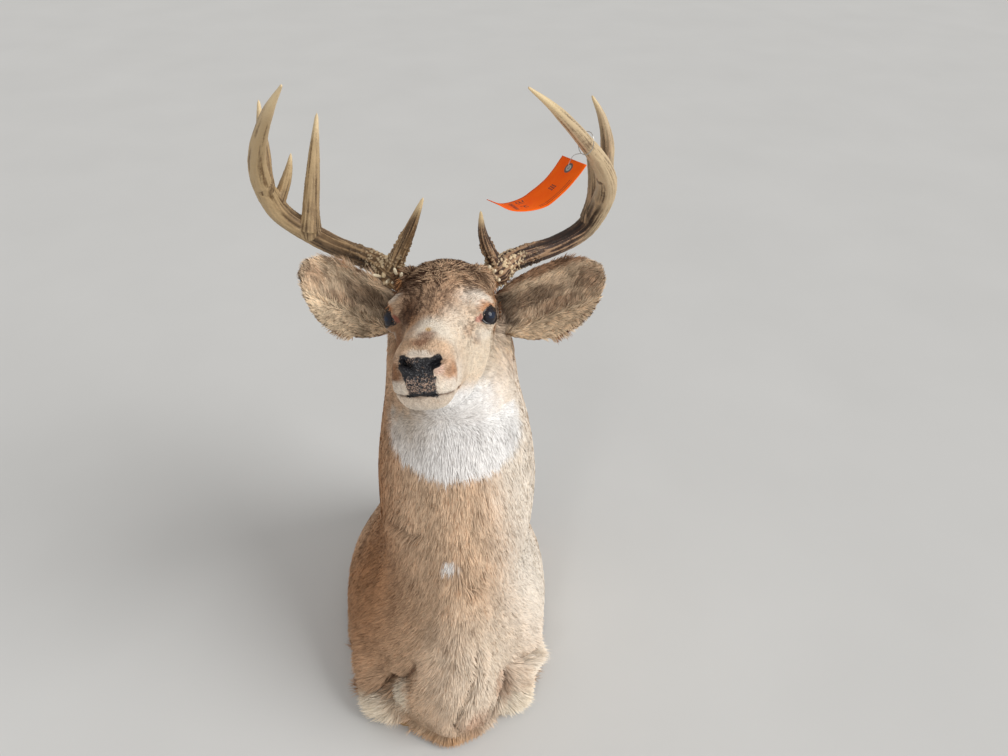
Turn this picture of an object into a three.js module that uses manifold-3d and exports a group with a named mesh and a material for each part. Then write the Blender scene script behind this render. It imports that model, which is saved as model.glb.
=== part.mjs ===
// A white-tailed buck's shoulder mount, standing on its backboard: +Z leads out of the board along the neck,
// -Y is the underside (brisket, throat, face) and +X is the deer's left. The origin is the middle of the
// board's flat back, which lies on a floor or hangs against a wall. Lengths are millimetres, angles degrees.
//
// The body is modelled whole from a few lofts, then parted with thin cuts into head, jaw, nose, neck, trunk
// and the two foreleg stumps. Antlers are swept along curves and parted at their forks.

import * as THREE from "three";
import { mergeVertices } from "three/addons/utils/BufferGeometryUtils.js";
import Module from "manifold-3d";

const wasm = await Module();
wasm.setup();

const X = 0;
const Y = 1;
const GAP = 0.4; // clear space between neighbouring solids
const FAR = 2000; // reach of a cutting block, past the whole mount

// ---------------------------------------------------------------- driving dimensions

const BOARD = { halfWidth: 168, front: -262, back: 226, thickness: 18, squareness: 2.7 };
const HIDE_EDGE = 1; // height of the hide's lowest edge round the board

// Level sections of the trunk and neck, by height above the board's back. `shift` moves a section sideways,
// `front` and `back` are its reach along Y, `half` its half width and `square` its corner power. `keel` is
// how far the brisket stands out in front, `leg` the fullness over each foreleg.
const BODY = [
  { at: -10, shift: 6, front: -196, back: 238, half: 176, square: 2.3, keel: 92, leg: 14 },
  { at: 50, shift: 9, front: -204, back: 240, half: 188, square: 2.15, keel: 98, leg: 18 },
  { at: 110, shift: 12, front: -208, back: 232, half: 187, square: 2.08, keel: 94, leg: 18 },
  { at: 170, shift: 19, front: -206, back: 210, half: 162, square: 2.02, keel: 76, leg: 12 },
  { at: 235, shift: 29, front: -194, back: 186, half: 130, square: 2, keel: 52, leg: 6 },
  { at: 300, shift: 35, front: -176, back: 172, half: 133, square: 2.05, keel: 33, leg: 2 },
  { at: 370, shift: 37, front: -150, back: 163, half: 133, square: 2.05, keel: 18, leg: 0 },
  { at: 440, shift: 37, front: -124, back: 152, half: 123, square: 2, keel: 8, leg: 0 },
  { at: 510, shift: 35, front: -98, back: 140, half: 108, square: 2, keel: 0, leg: 0 },
  { at: 575, shift: 34, front: -68, back: 128, half: 97, square: 2, keel: 0, leg: 0 },
  { at: 625, shift: 33, front: -34, back: 116, half: 84, square: 2, keel: 0, leg: 0 },
  { at: 660, shift: 31, front: -2, back: 102, half: 62, square: 2, keel: 0, leg: 0 },
  { at: 686, shift: 29, front: 26, back: 84, half: 34, square: 2, keel: 0, leg: 0 },
];
const KEEL_SPREAD = 0.38; // of the brisket round the section, radians
const KEEL_BEARING = 0.03; // of the brisket, a little to the deer's left
const LEG_SPREAD = 0.32;
const LEG_BEARING = 0.86; // of each foreleg from straight ahead, radians
const STUMP = { x: 100, y: -160, z: 42, wide: 56, long: 72, high: 66, turn: 18 };

// The head's own frame: origin midway between the eyes, +X left, +Y to the poll, +Z out of the forehead,
// with the mouth line level. It is then pitched nose up, turned to the deer's right and set on the neck.
const HEAD_AT = new THREE.Vector3(22, -43, 683);
const HEAD_PITCH = -27;
const HEAD_TURN = -7;
const HEAD_ROLL = -4;

// Upright sections of the head from the nose to the poll: `top` and `bottom` of the profile, half width
// `half` at height `wide`, `square` the corner power and `taper` the narrowing towards the jaw.
const HEAD = [
  { at: -193, top: -30, bottom: -66, half: 19, wide: -46, square: 2.2, taper: 0 },
  { at: -187, top: -19, bottom: -80, half: 29, wide: -46, square: 2.5, taper: 0 },
  { at: -170, top: -9, bottom: -93, half: 36, wide: -48, square: 2.7, taper: 0.04 },
  { at: -145, top: -2, bottom: -98, half: 37, wide: -48, square: 2.5, taper: 0.1 },
  { at: -110, top: 4, bottom: -100, half: 36, wide: -45, square: 2.3, taper: 0.14 },
  { at: -70, top: 16, bottom: -110, half: 41, wide: -38, square: 2.2, taper: 0.14 },
  { at: -35, top: 33, bottom: -122, half: 50, wide: -30, square: 2.2, taper: 0.1 },
  { at: 0, top: 50, bottom: -130, half: 66, wide: -10, square: 2.2, taper: 0.12 },
  { at: 40, top: 68, bottom: -128, half: 70, wide: -6, square: 2.2, taper: 0.1 },
  { at: 80, top: 74, bottom: -112, half: 71, wide: 0, square: 2.2, taper: 0.05 },
  { at: 115, top: 56, bottom: -80, half: 62, wide: 0, square: 2.1, taper: 0 },
  { at: 140, top: 24, bottom: -36, half: 34, wide: 0, square: 2, taper: 0 },
];
const BROW = { x: 40, y: 8, z: 13, wide: 33, long: 42, high: 23 }; // the ridge over each eye
const EYE = { x: 60, y: -5, z: 0, radius: 16.5 };
const PEDICLE = { x: 47, y: 62, z: 43, wide: 24, long: 30, high: 23 };
const NOSE_PAD = { y: -190, z: -44, wide: 23, long: 25, high: 29 };

const MOUTH = { height: -69, corner: -112, slope: -2 }; // lip line, and where the jaw's cut turns down
const HEAD_CUT = { y: 84, z: -30, lean: -27 }; // behind the jaw and ears
const NECK_CUT = { z: 268, lean: -12 };

// An ear: a leaf rolled into a cup, laid from `root` to `tip` with its mouth turned towards `mouth`.
const EAR = { shell: 7, rim: 4.5, rollAtRoot: 105, rollAtTip: 28 };
const EAR_LEFT = { root: [86, 46, 620], tip: [254, 30, 704], mouth: [-0.12, -0.84, 0.52], widest: 98, sag: 12 };
const EAR_RIGHT = { root: [-23, 43, 630], tip: [-166, 30, 722], mouth: [0.14, -0.84, 0.5], widest: 88, sag: 18 };

// Main beams run from the coronet out, back and round to the forward tips; a tine is named by its place.
const BEAM_RADIUS = [18.5, 15.5, 15, 15.5, 16, 14, 11.5, 9.5, 7.5, 2.5];
const CORONET = { at: 0.045, radius: 22, tube: 4.5 };
const LEFT_ANTLER = {
  beam: [[86, 44, 686], [131, 72, 703], [197, 105, 709], [240, 120, 727], [259, 112, 765],
    [262, 90, 805], [249, 55, 846], [211, 0, 905], [163, -40, 962], [131, -55, 990]],
  forks: [0.46, 0.66],
  tines: {
    brow_tine: { points: [[107, 56, 702], [94, 46, 732], [84, 36, 766], [81, 28, 806]], radius: 10.5 },
    second_tine: { points: [[249, 120, 745], [254, 128, 785], [246, 140, 835], [225, 150, 877]], radius: 12 },
    third_tine: { points: [[252, 66, 835], [256, 80, 868], [247, 92, 905], [231, 100, 934]], radius: 10.5 },
  },
};
const RIGHT_ANTLER = {
  beam: [[-30, 44, 688], [-74, 80, 702], [-133, 112, 713], [-177, 128, 733], [-204, 120, 763],
    [-215, 104, 803], [-211, 70, 855], [-194, 32, 900], [-164, -15, 955], [-138, -45, 992]],
  forks: [0.34, 0.5, 0.6],
  tines: {
    brow_tine: { points: [[-46, 56, 702], [-32, 46, 735], [-12, 32, 782], [7, 20, 830]], radius: 11.5 },
    second_tine: { points: [[-166, 122, 733], [-161, 130, 768], [-151, 148, 830], [-140, 168, 893]], radius: 12.5 },
    short_tine: { points: [[-206, 118, 778], [-194, 124, 800], [-184, 128, 824], [-177, 130, 849]], radius: 9.5 },
    third_tine: { points: [[-213, 96, 814], [-208, 100, 850], [-206, 106, 893], [-203, 110, 930]], radius: 10.5 },
  },
};
const TINE_TIP_RADIUS = 1.6;

// The lot tag: a curled card hung by a wire from the left beam.
const CARD = { width: 58, thickness: 0.8, hole: 4.4, holeInset: 12, eyelet: 8.4 };
const CARD_LINE = [[199, 5, 881], [186, -3, 866], [171, -12, 853], [145, -22, 838], [112, -29, 835], [93, -30, 843]];
const CARD_ACROSS = [[0.51, -0.81, 0.3], [0.32, -0.94, 0.12], [0.12, -0.93, 0.34]];
const WIRE = { radius: 0.5, loopAt: 0.76, loopRadius: 12.5, slant: 8 };

const COLOURS = {
  hide: 0xb48d64, face: 0x9d7a58, nose: 0x1b1a1d, eye: 0x0c0a09, antler: 0x8c7355, tine: 0xb9a27c,
  board: 0x9a7a52, card: 0xff5a12, wire: 0x8f8c86,
};

// ---------------------------------------------------------------- solids, cuts and joins

// three.js geometry, closed once its shared corners are merged, as a solid that can be joined and cut.
function solid(geometry) {
  const plain = new THREE.BufferGeometry();
  plain.setAttribute("position", geometry.getAttribute("position"));
  plain.setIndex(geometry.getIndex());
  const merged = mergeVertices(plain, 1e-3);
  const corners = merged.index.array;
  const faces = [];
  for (let i = 0; i < corners.length; i += 3) {
    const [a, b, c] = corners.slice(i, i + 3);
    if (a !== b && b !== c && c !== a) faces.push(a, b, c);
  }
  const mesh = new wasm.Mesh({
    numProp: 3,
    vertProperties: merged.attributes.position.array,
    triVerts: new Uint32Array(faces),
  });
  return new wasm.Manifold(mesh);
}

function geometryOf(made) {
  const mesh = made.getMesh();
  const geometry = new THREE.BufferGeometry();
  geometry.setAttribute("position", new THREE.BufferAttribute(new Float32Array(mesh.vertProperties), 3));
  geometry.setIndex(new THREE.BufferAttribute(new Uint32Array(mesh.triVerts), 1));
  const shown = geometry.toNonIndexed();
  shown.computeVertexNormals();
  return shown;
}

// The largest body of a solid: what a cut left over in crumbs is dropped.
function mainBody(made) {
  const bodies = made.decompose();
  return bodies.reduce((best, body) => (body.volume() > best.volume() ? body : best));
}

const joined = (solids) => solids.reduce((sum, next) => sum.add(next));
const vector = (point) => new THREE.Vector3(...point);
const radians = THREE.MathUtils.degToRad;
const signedPower = (value, power) => Math.sign(value) * Math.abs(value) ** power;

// The stations' values at a place between them, on a smooth curve through each value.
function between(stations, at) {
  const last = stations.length - 1;
  const upper = stations.findIndex((station) => station.at > at);
  const next = upper < 0 ? last : Math.max(upper, 1);
  const before = stations[next - 1];
  const after = stations[next];
  const span = after.at - before.at;
  const share = THREE.MathUtils.clamp((at - before.at) / span, 0, 1);
  const slope = (key, index) => {
    const low = stations[Math.max(index - 1, 0)];
    const high = stations[Math.min(index + 1, last)];
    return ((high[key] - low[key]) / (high.at - low.at)) * span;
  };
  const s2 = share * share;
  const s3 = s2 * share;
  const values = { at };
  for (const key of Object.keys(before).filter((name) => name !== "at")) {
    values[key] = (2 * s3 - 3 * s2 + 1) * before[key] + (s3 - 2 * s2 + share) * slope(key, next - 1)
      + (3 * s2 - 2 * s3) * after[key] + (s3 - s2) * slope(key, next);
  }
  return values;
}

const middleOf = (ring) => ring.reduce((sum, p) => sum.add(p), new THREE.Vector3()).divideScalar(ring.length);

// A closed skin over rings of equal count, each end closed to the middle of its ring.
function loft(rings) {
  const count = rings[0].length;
  const points = [...rings.flat(), middleOf(rings[0]), middleOf(rings.at(-1))];
  const [startPole, endPole] = [points.length - 2, points.length - 1];
  const faces = [];
  for (let side = 0; side < count; side++) {
    const next = (side + 1) % count;
    faces.push(startPole, next, side);
    for (let row = 0; row < rings.length - 1; row++) {
      const low = row * count;
      const high = low + count;
      faces.push(low + side, low + next, high + next, low + side, high + next, high + side);
    }
    const top = (rings.length - 1) * count;
    faces.push(endPole, top + side, top + next);
  }
  const geometry = new THREE.BufferGeometry().setFromPoints(points);
  geometry.setIndex(faces);
  return geometry;
}

// ---------------------------------------------------------------- trunk and neck

// A bump of height 1 round a bearing of the section, fading over `spread`.
function bump(angle, bearing, spread) {
  const away = Math.abs(((angle - bearing + 3 * Math.PI) % (2 * Math.PI)) - Math.PI);
  return Math.exp(-((away / spread) ** 2));
}

// A level section, widened all round by `grow`.
function levelRing(station, sides, grow) {
  const { at, shift, front, back, half, square, keel = 0, leg = 0 } = station;
  const middle = (front + back) / 2;
  const reach = (back - front) / 2;
  const ahead = -Math.PI / 2;
  const ring = [];
  for (let side = 0; side < sides; side++) {
    const angle = (2 * Math.PI * side) / sides;
    const oval = new THREE.Vector2(
      signedPower(Math.cos(angle), 2 / square) * half, signedPower(Math.sin(angle), 2 / square) * reach);
    const legs = bump(angle, ahead + LEG_BEARING, LEG_SPREAD) + bump(angle, ahead - LEG_BEARING, LEG_SPREAD);
    const extra = grow + keel * bump(angle, ahead + KEEL_BEARING, KEEL_SPREAD) + leg * legs;
    oval.setLength(oval.length() + extra);
    ring.push(new THREE.Vector3(shift + oval.x, middle + oval.y, at));
  }
  return ring;
}

function body(rows, sides, grow) {
  const [first, last] = [BODY[0].at, BODY.at(-1).at];
  const rings = [];
  for (let row = 0; row < rows; row++) {
    const at = THREE.MathUtils.lerp(first, last, row / (rows - 1));
    rings.push(levelRing(between(BODY, at), sides, grow));
  }
  return solid(loft(rings));
}

// What is left of a foreleg where the hide is cut at the shoulder.
function stump(side, grow) {
  const geometry = new THREE.SphereGeometry(1, 14, 9);
  geometry.scale(STUMP.wide + grow, STUMP.long + grow, STUMP.high + grow);
  geometry.rotateZ(radians(side * STUMP.turn));
  geometry.translate(BODY[0].shift + side * STUMP.x, STUMP.y, STUMP.z);
  return solid(geometry);
}

// ---------------------------------------------------------------- head

const headPose = new THREE.Matrix4().compose(
  HEAD_AT,
  new THREE.Quaternion().setFromEuler(
    new THREE.Euler(radians(HEAD_PITCH), radians(HEAD_ROLL), radians(HEAD_TURN), "ZXY")),
  new THREE.Vector3(1, 1, 1),
);
const onHead = (geometry) => solid(geometry.applyMatrix4(headPose));

function headRing(station, sides, grow) {
  const { at, top, bottom, half, wide, square, taper } = station;
  const ring = [];
  for (let side = 0; side < sides; side++) {
    const angle = (-2 * Math.PI * side) / sides;
    const rise = signedPower(Math.sin(angle), 2 / square);
    const reach = rise > 0 ? top - wide : wide - bottom;
    const narrowing = 1 - taper * Math.max(-rise, 0);
    const across = signedPower(Math.cos(angle), 2 / square) * (half * narrowing + grow);
    ring.push(new THREE.Vector3(across, at, wide + rise * (reach + grow)));
  }
  return ring;
}

function skull(rows, sides, grow) {
  const [first, last] = [HEAD[0].at - grow, HEAD.at(-1).at + grow];
  const rings = [];
  for (let row = 0; row < rows; row++) {
    const along = 0.5 - Math.cos((Math.PI * row) / (rows - 1)) / 2; // closer rows at nose and poll
    const at = THREE.MathUtils.lerp(first, last, THREE.MathUtils.lerp(row / (rows - 1), along, 0.5));
    const station = between(HEAD, THREE.MathUtils.clamp(at, HEAD[0].at, HEAD.at(-1).at));
    rings.push(headRing({ ...station, at }, sides, grow));
  }
  return onHead(loft(rings));
}

// A swelling at mirrored places of the head, such as a brow or the root of an antler.
function swelling(size, side, grow) {
  const geometry = new THREE.SphereGeometry(1, 12, 7);
  geometry.scale(size.wide + grow, size.long + grow, size.high + grow);
  geometry.translate(side * size.x, size.y, size.z);
  return onHead(geometry);
}

function eyeball(side, grow) {
  const geometry = new THREE.SphereGeometry(EYE.radius + grow, 12, 8);
  geometry.translate(side * EYE.x, EYE.y, EYE.z);
  return onHead(geometry);
}

// All flesh as one solid. `grow` widens every loft by the same amount.
function flesh(grow) {
  const sides = [1, -1];
  const whole = joined([
    body(19, 32, grow),
    skull(18, 20, grow),
    ...sides.map((side) => swelling(BROW, side, grow)),
    ...sides.map((side) => swelling(PEDICLE, side, grow)),
  ]);
  return whole.trimByPlane([0, 0, 1], HIDE_EDGE - grow);
}

// The bare nose pad's share of the muzzle.
function nosePad(grow) {
  const geometry = new THREE.SphereGeometry(1, 16, 10);
  geometry.scale(NOSE_PAD.wide + grow, NOSE_PAD.long + grow, NOSE_PAD.high + grow);
  geometry.translate(0, NOSE_PAD.y, NOSE_PAD.z);
  return onHead(geometry);
}

// The lower jaw's block: below the lip line and ahead of the mouth's corner.
function jawBlock(inset) {
  const length = FAR;
  const geometry = new THREE.BoxGeometry(FAR, length, FAR);
  geometry.translate(0, -length / 2 - inset, -FAR / 2 - inset);
  geometry.rotateX(radians(MOUTH.slope));
  geometry.translate(0, MOUTH.corner, MOUTH.height);
  return onHead(geometry);
}

// A solid parted by a plane, with half the gap taken from each side: [the side it points to, the other].
function parted(made, normal, point) {
  const direction = normal.clone().normalize();
  const offset = direction.dot(point);
  const n = direction.toArray();
  const back = direction.clone().negate().toArray();
  return [made.trimByPlane(n, offset + GAP / 2), made.trimByPlane(back, GAP / 2 - offset)];
}

// ---------------------------------------------------------------- backboard

function backboard(grow) {
  const { halfWidth, front, back, thickness, squareness } = BOARD;
  const station = { at: 0, shift: BODY[0].shift, front, back, half: halfWidth, square: squareness };
  const outline = levelRing(station, 36, grow).map((p) => new THREE.Vector2(p.x, p.y));
  const geometry = new THREE.ExtrudeGeometry(new THREE.Shape(outline), {
    depth: thickness + grow * 2, bevelEnabled: false, curveSegments: 1,
  });
  geometry.translate(0, 0, -grow);
  return solid(geometry);
}

// ---------------------------------------------------------------- ears

const EAR_OUTLINE = [
  { at: 0, width: 0.42 }, { at: 0.12, width: 0.64 }, { at: 0.3, width: 0.9 }, { at: 0.5, width: 1 },
  { at: 0.72, width: 0.88 }, { at: 0.9, width: 0.58 }, { at: 1, width: 0.22 },
];

function ear({ root, tip, mouth, widest, sag }) {
  const rows = 10;
  const across = 7;
  const axis = vector(tip).sub(vector(root));
  const length = axis.length();
  axis.normalize();
  const opening = vector(mouth);
  opening.addScaledVector(axis, -opening.dot(axis)).normalize();
  const side = new THREE.Vector3().crossVectors(opening, axis);
  const rings = [];
  for (let row = 0; row <= rows; row++) {
    const share = row / rows;
    const half = (between(EAR_OUTLINE, share).width * widest) / 2;
    const roll = radians(THREE.MathUtils.lerp(EAR.rollAtRoot, EAR.rollAtTip, share ** 0.6));
    const radius = (half * 1.2) / roll;
    const bow = Math.sin(share * Math.PI);
    const middle = vector(root)
      .addScaledVector(axis, share * length)
      .addScaledVector(opening, radius - bow * 8)
      .addScaledVector(side, -Math.sign(side.z) * bow * sag);
    const place = (turn, offset) => middle.clone()
      .addScaledVector(side, Math.sin(turn) * (radius + offset))
      .addScaledVector(opening, -Math.cos(turn) * (radius + offset));
    const outer = [];
    const inner = [];
    for (let step = 0; step < across; step++) {
      const edge = (2 * step) / (across - 1) - 1;
      const thick = THREE.MathUtils.lerp(EAR.shell, EAR.rim, edge ** 2) * THREE.MathUtils.lerp(1, 0.7, share);
      outer.push(place(edge * roll, thick / 2));
      inner.unshift(place(edge * roll, -thick / 2));
    }
    rings.push([...outer, ...inner]);
  }
  return solid(stripLoft(rings));
}

// Like loft, for crescent rings: the ends are closed by strips between each point and its partner across.
function stripLoft(rings) {
  const count = rings[0].length;
  const faces = [];
  for (let row = 0; row < rings.length - 1; row++) {
    for (let side = 0; side < count; side++) {
      const next = (side + 1) % count;
      const [low, high] = [row * count, (row + 1) * count];
      faces.push(low + side, low + next, high + next, low + side, high + next, high + side);
    }
  }
  const end = (rings.length - 1) * count;
  for (let side = 0; side < count / 2 - 1; side++) {
    const across = count - 1 - side;
    faces.push(side, across, side + 1, side + 1, across, across - 1);
    faces.push(end + side, end + side + 1, end + across, end + side + 1, end + across - 1, end + across);
  }
  const geometry = new THREE.BufferGeometry().setFromPoints(rings.flat());
  geometry.setIndex(faces);
  return geometry;
}

// ---------------------------------------------------------------- antlers

// Round sections along a curve between two shares of its length, with a radius for each share.
function ringsAlong(curve, from, to, rows, sides, radiusAt) {
  const steps = 80;
  const frames = curve.computeFrenetFrames(steps, Boolean(curve.closed));
  const rings = [];
  for (let row = 0; row <= rows; row++) {
    const share = THREE.MathUtils.lerp(from, to, row / rows);
    const frame = Math.round(share * steps);
    const centre = curve.getPointAt(share);
    const radius = radiusAt(share);
    const ring = [];
    for (let side = 0; side < sides; side++) {
      const angle = (2 * Math.PI * side) / sides;
      ring.push(centre.clone()
        .addScaledVector(frames.normals[frame], Math.cos(angle) * radius)
        .addScaledVector(frames.binormals[frame], Math.sin(angle) * radius));
    }
    rings.push(ring);
  }
  return rings;
}

const sweep = (...stretch) => solid(loft(ringsAlong(...stretch)));
const curveThrough = (points) => new THREE.CatmullRomCurve3(points.map(vector), false, "centripetal");

function beamRadius(share) {
  const place = share * (BEAM_RADIUS.length - 1);
  const low = Math.min(Math.floor(place), BEAM_RADIUS.length - 2);
  return THREE.MathUtils.lerp(BEAM_RADIUS[low], BEAM_RADIUS[low + 1], place - low);
}

// A tine flares where it leaves the beam and tapers to a blunt point.
function tineRadius(radius, share) {
  const flare = 1 + 0.35 * Math.max(0, 1 - share / 0.25) ** 2;
  return Math.max(radius * flare * (1 - share ** 1.6), TINE_TIP_RADIUS);
}

// The pearled ring where an antler leaves its stalk.
function coronet(curve, grow) {
  const geometry = new THREE.TorusGeometry(CORONET.radius - CORONET.tube, CORONET.tube + grow, 6, 12);
  geometry.applyQuaternion(new THREE.Quaternion().setFromUnitVectors(
    new THREE.Vector3(0, 0, 1), curve.getTangentAt(CORONET.at)));
  geometry.translate(...curve.getPointAt(CORONET.at).toArray());
  return solid(geometry);
}

// One antler as named solids: the flesh's room is cut from its foot, and the beam's from every tine.
function antler(name, { beam, forks, tines }, fleshRoom) {
  const curve = curveThrough(beam);
  const space = GAP / curve.getLength() / 2;
  const stops = [0, ...forks, 1];
  const names = forks.length === 3 ? ["base", "rise", "bend", "tip"] : ["base", "rise", "tip"];
  const pieces = {};
  const rooms = [coronet(curve, GAP), fleshRoom];
  names.forEach((stretch, index) => {
    const from = index === 0 ? 0 : stops[index] + space;
    const to = index === names.length - 1 ? 1 : stops[index + 1] - space;
    const rows = Math.max(3, Math.round((to - from) * 22));
    const made = sweep(curve, from, to, rows, 8, beamRadius);
    rooms.push(sweep(curve, from, to, rows, 8, (share) => beamRadius(share) + GAP * 1.2));
    pieces[`${name}_beam_${stretch}`] = index ? made : made.add(coronet(curve, 0)).subtract(fleshRoom);
  });
  const room = joined(rooms);
  for (const [tine, { points, radius }] of Object.entries(tines)) {
    const made = sweep(curveThrough(points), 0, 1, 7, 7, (share) => tineRadius(radius, share));
    pieces[`${name}_${tine}`] = made.subtract(room);
  }
  return pieces;
}

// ---------------------------------------------------------------- tag

const cardLine = curveThrough(CARD_LINE);

function cardFrame(share) {
  const along = cardLine.getTangentAt(share);
  const [start, middle, end] = CARD_ACROSS.map(vector);
  const across = share < 0.5 ? start.lerp(middle, share * 2) : middle.lerp(end, share * 2 - 1);
  across.addScaledVector(along, -across.dot(along)).normalize();
  return { centre: cardLine.getPointAt(share), along, across, out: along.clone().cross(across) };
}

function card() {
  const rows = 10;
  const rings = [];
  for (let row = 0; row <= rows; row++) {
    const { centre, across, out } = cardFrame(row / rows);
    const corners = [[1, 1], [-1, 1], [-1, -1], [1, -1]];
    rings.push(corners.map(([side, face]) => centre.clone()
      .addScaledVector(across, (side * CARD.width) / 2)
      .addScaledVector(out, (face * CARD.thickness) / 2)));
  }
  return solid(loft(rings));
}

const holeFrame = () => cardFrame(CARD.holeInset / cardLine.getLength());

// A disc centred on the card's hole, square to the card.
function discAtHole(radius, depth) {
  const { centre, along, across, out } = holeFrame();
  const geometry = new THREE.CylinderGeometry(radius, radius, depth, 12).rotateX(Math.PI / 2);
  return solid(geometry.applyMatrix4(new THREE.Matrix4().makeBasis(along, across, out).setPosition(centre)));
}

// The wire's loop round the beam: a slanting ring, lowest where the wire is twisted.
function wireLoop(beam) {
  const hook = beam.getPointAt(WIRE.loopAt);
  const along = beam.getTangentAt(WIRE.loopAt);
  const down = holeFrame().centre.sub(hook);
  down.addScaledVector(along, -down.dot(along)).normalize();
  const round = along.clone().cross(down);
  const points = [];
  for (let step = 0; step < 8; step++) {
    const angle = (Math.PI * step) / 4;
    points.push(hook.clone()
      .addScaledVector(down, Math.cos(angle) * WIRE.loopRadius)
      .addScaledVector(round, Math.sin(angle) * WIRE.loopRadius)
      .addScaledVector(along, -Math.cos(angle) * WIRE.slant));
  }
  return new THREE.CatmullRomCurve3(points, true);
}

const wireSections = (curve, rows) => ringsAlong(curve, 0, 1, rows, 5, () => WIRE.radius);

// Joins the rings in a circle, the last to the first, which holds the same points.
function closedLoft(rings) {
  const count = rings[0].length;
  const loop = rings.slice(0, -1);
  const faces = [];
  loop.forEach((ring, row) => {
    const [low, high] = [row * count, ((row + 1) % loop.length) * count];
    for (let side = 0; side < count; side++) {
      const next = (side + 1) % count;
      faces.push(low + side, low + next, high + next, low + side, high + next, high + side);
    }
  });
  const geometry = new THREE.BufferGeometry().setFromPoints(loop.flat());
  geometry.setIndex(faces);
  return geometry;
}

// From the loop the wire comes down over the card's top edge and through its eyelet.
function tag() {
  const eyelet = discAtHole(CARD.eyelet / 2, CARD.thickness * 1.6).subtract(discAtHole(CARD.hole / 2, 6));
  const loop = wireLoop(curveThrough(LEFT_ANTLER.beam));
  const { centre, along, out } = holeFrame();
  const beside = (down, lift) => centre.clone().addScaledVector(along, down).addScaledVector(out, lift);
  const drop = new THREE.CatmullRomCurve3([
    loop.getPointAt(0), beside(-CARD.holeInset - 4, 5), beside(-4, 3.4), beside(0, 0.6), beside(0.6, -2.4),
  ], false, "centripetal");
  return {
    tag_card: card().subtract(discAtHole(CARD.eyelet / 2 + GAP, 6)),
    tag_eyelet: eyelet,
    tag_wire: solid(closedLoft(wireSections(loop, 16))).add(solid(loft(wireSections(drop, 9)))),
  };
}

// ---------------------------------------------------------------- the mount, piece by piece

const whole = flesh(0).subtract(stump(1, GAP)).subtract(stump(-1, GAP)).subtract(backboard(GAP));
const grown = flesh(GAP);

const headNormal = new THREE.Vector3(0, -1, 0)
  .applyAxisAngle(new THREE.Vector3(1, 0, 0), radians(HEAD_CUT.lean)).transformDirection(headPose);
const headPoint = new THREE.Vector3(0, HEAD_CUT.y, HEAD_CUT.z).applyMatrix4(headPose);
const [headPart, below] = parted(whole, headNormal, headPoint);

const neckNormal = new THREE.Vector3(0, 0, 1)
  .applyAxisAngle(new THREE.Vector3(1, 0, 0), radians(NECK_CUT.lean));
const [neckPart, trunkPart] = parted(below, neckNormal, new THREE.Vector3(0, 0, NECK_CUT.z));

const socketed = [1, -1].reduce((made, side) => made.subtract(eyeball(side, GAP)), headPart);
const head = socketed.subtract(nosePad(GAP)).subtract(jawBlock(0));
const jaw = socketed.intersect(jawBlock(GAP));
const nose = socketed.intersect(nosePad(0)).subtract(jawBlock(0));

const FLESH = {
  trunk: [trunkPart, "hide"],
  neck: [neckPart, "hide"],
  head: [head, "face"],
  lower_jaw: [jaw, "face"],
  nose: [nose, "nose"],
  foreleg_left: [stump(1, 0).trimByPlane([0, 0, 1], HIDE_EDGE).subtract(backboard(GAP)), "hide"],
  foreleg_right: [stump(-1, 0).trimByPlane([0, 0, 1], HIDE_EDGE).subtract(backboard(GAP)), "hide"],
  ear_left: [ear(EAR_LEFT).subtract(grown), "hide"],
  ear_right: [ear(EAR_RIGHT).subtract(grown), "hide"],
  eye_left: [eyeball(1, 0), "eye"],
  eye_right: [eyeball(-1, 0), "eye"],
};

const mount = new THREE.Group();

function place(name, made, colour, roughness, metalness = 0) {
  const material = new THREE.MeshStandardMaterial({ color: COLOURS[colour], roughness, metalness });
  const mesh = new THREE.Mesh(geometryOf(mainBody(made)), material);
  mesh.name = name;
  mount.add(mesh);
}

place("backboard", backboard(0), "board", 0.7);
for (const [name, [made, colour]] of Object.entries(FLESH)) {
  place(name, made, colour, colour === "eye" ? 0.08 : 0.85);
}
const antlers = {
  ...antler("antler_left", LEFT_ANTLER, grown),
  ...antler("antler_right", RIGHT_ANTLER, grown),
};
for (const [name, made] of Object.entries(antlers)) {
  place(name, made, name.includes("tine") ? "tine" : "antler", 0.6);
}
for (const [name, made] of Object.entries(tag())) {
  place(name, made, name === "tag_card" ? "card" : "wire", name === "tag_card" ? 0.6 : 0.4, name === "tag_wire" ? 0.8 : 0);
}

export default mount;
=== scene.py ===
# %% [markdown]
# # A whitetail buck's shoulder mount
#
# The real thing is a deer's tanned hide glued over a foam form, on a plywood backboard, with real antlers,
# glass eyes and a card tag. It stands on its back, so the neck rises from the board and the head bends
# forward over the chest.
#
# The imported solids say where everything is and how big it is. This script dresses them: it grows one skin
# over the flesh, lays a coat of small tufts on it, and gives bone, glass, card and wood their finish.

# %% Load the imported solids
from math import radians, tau

import bmesh
import bpy
import numpy as np
from mathutils import Matrix, Vector
from mathutils.bvhtree import BVHTree


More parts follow.
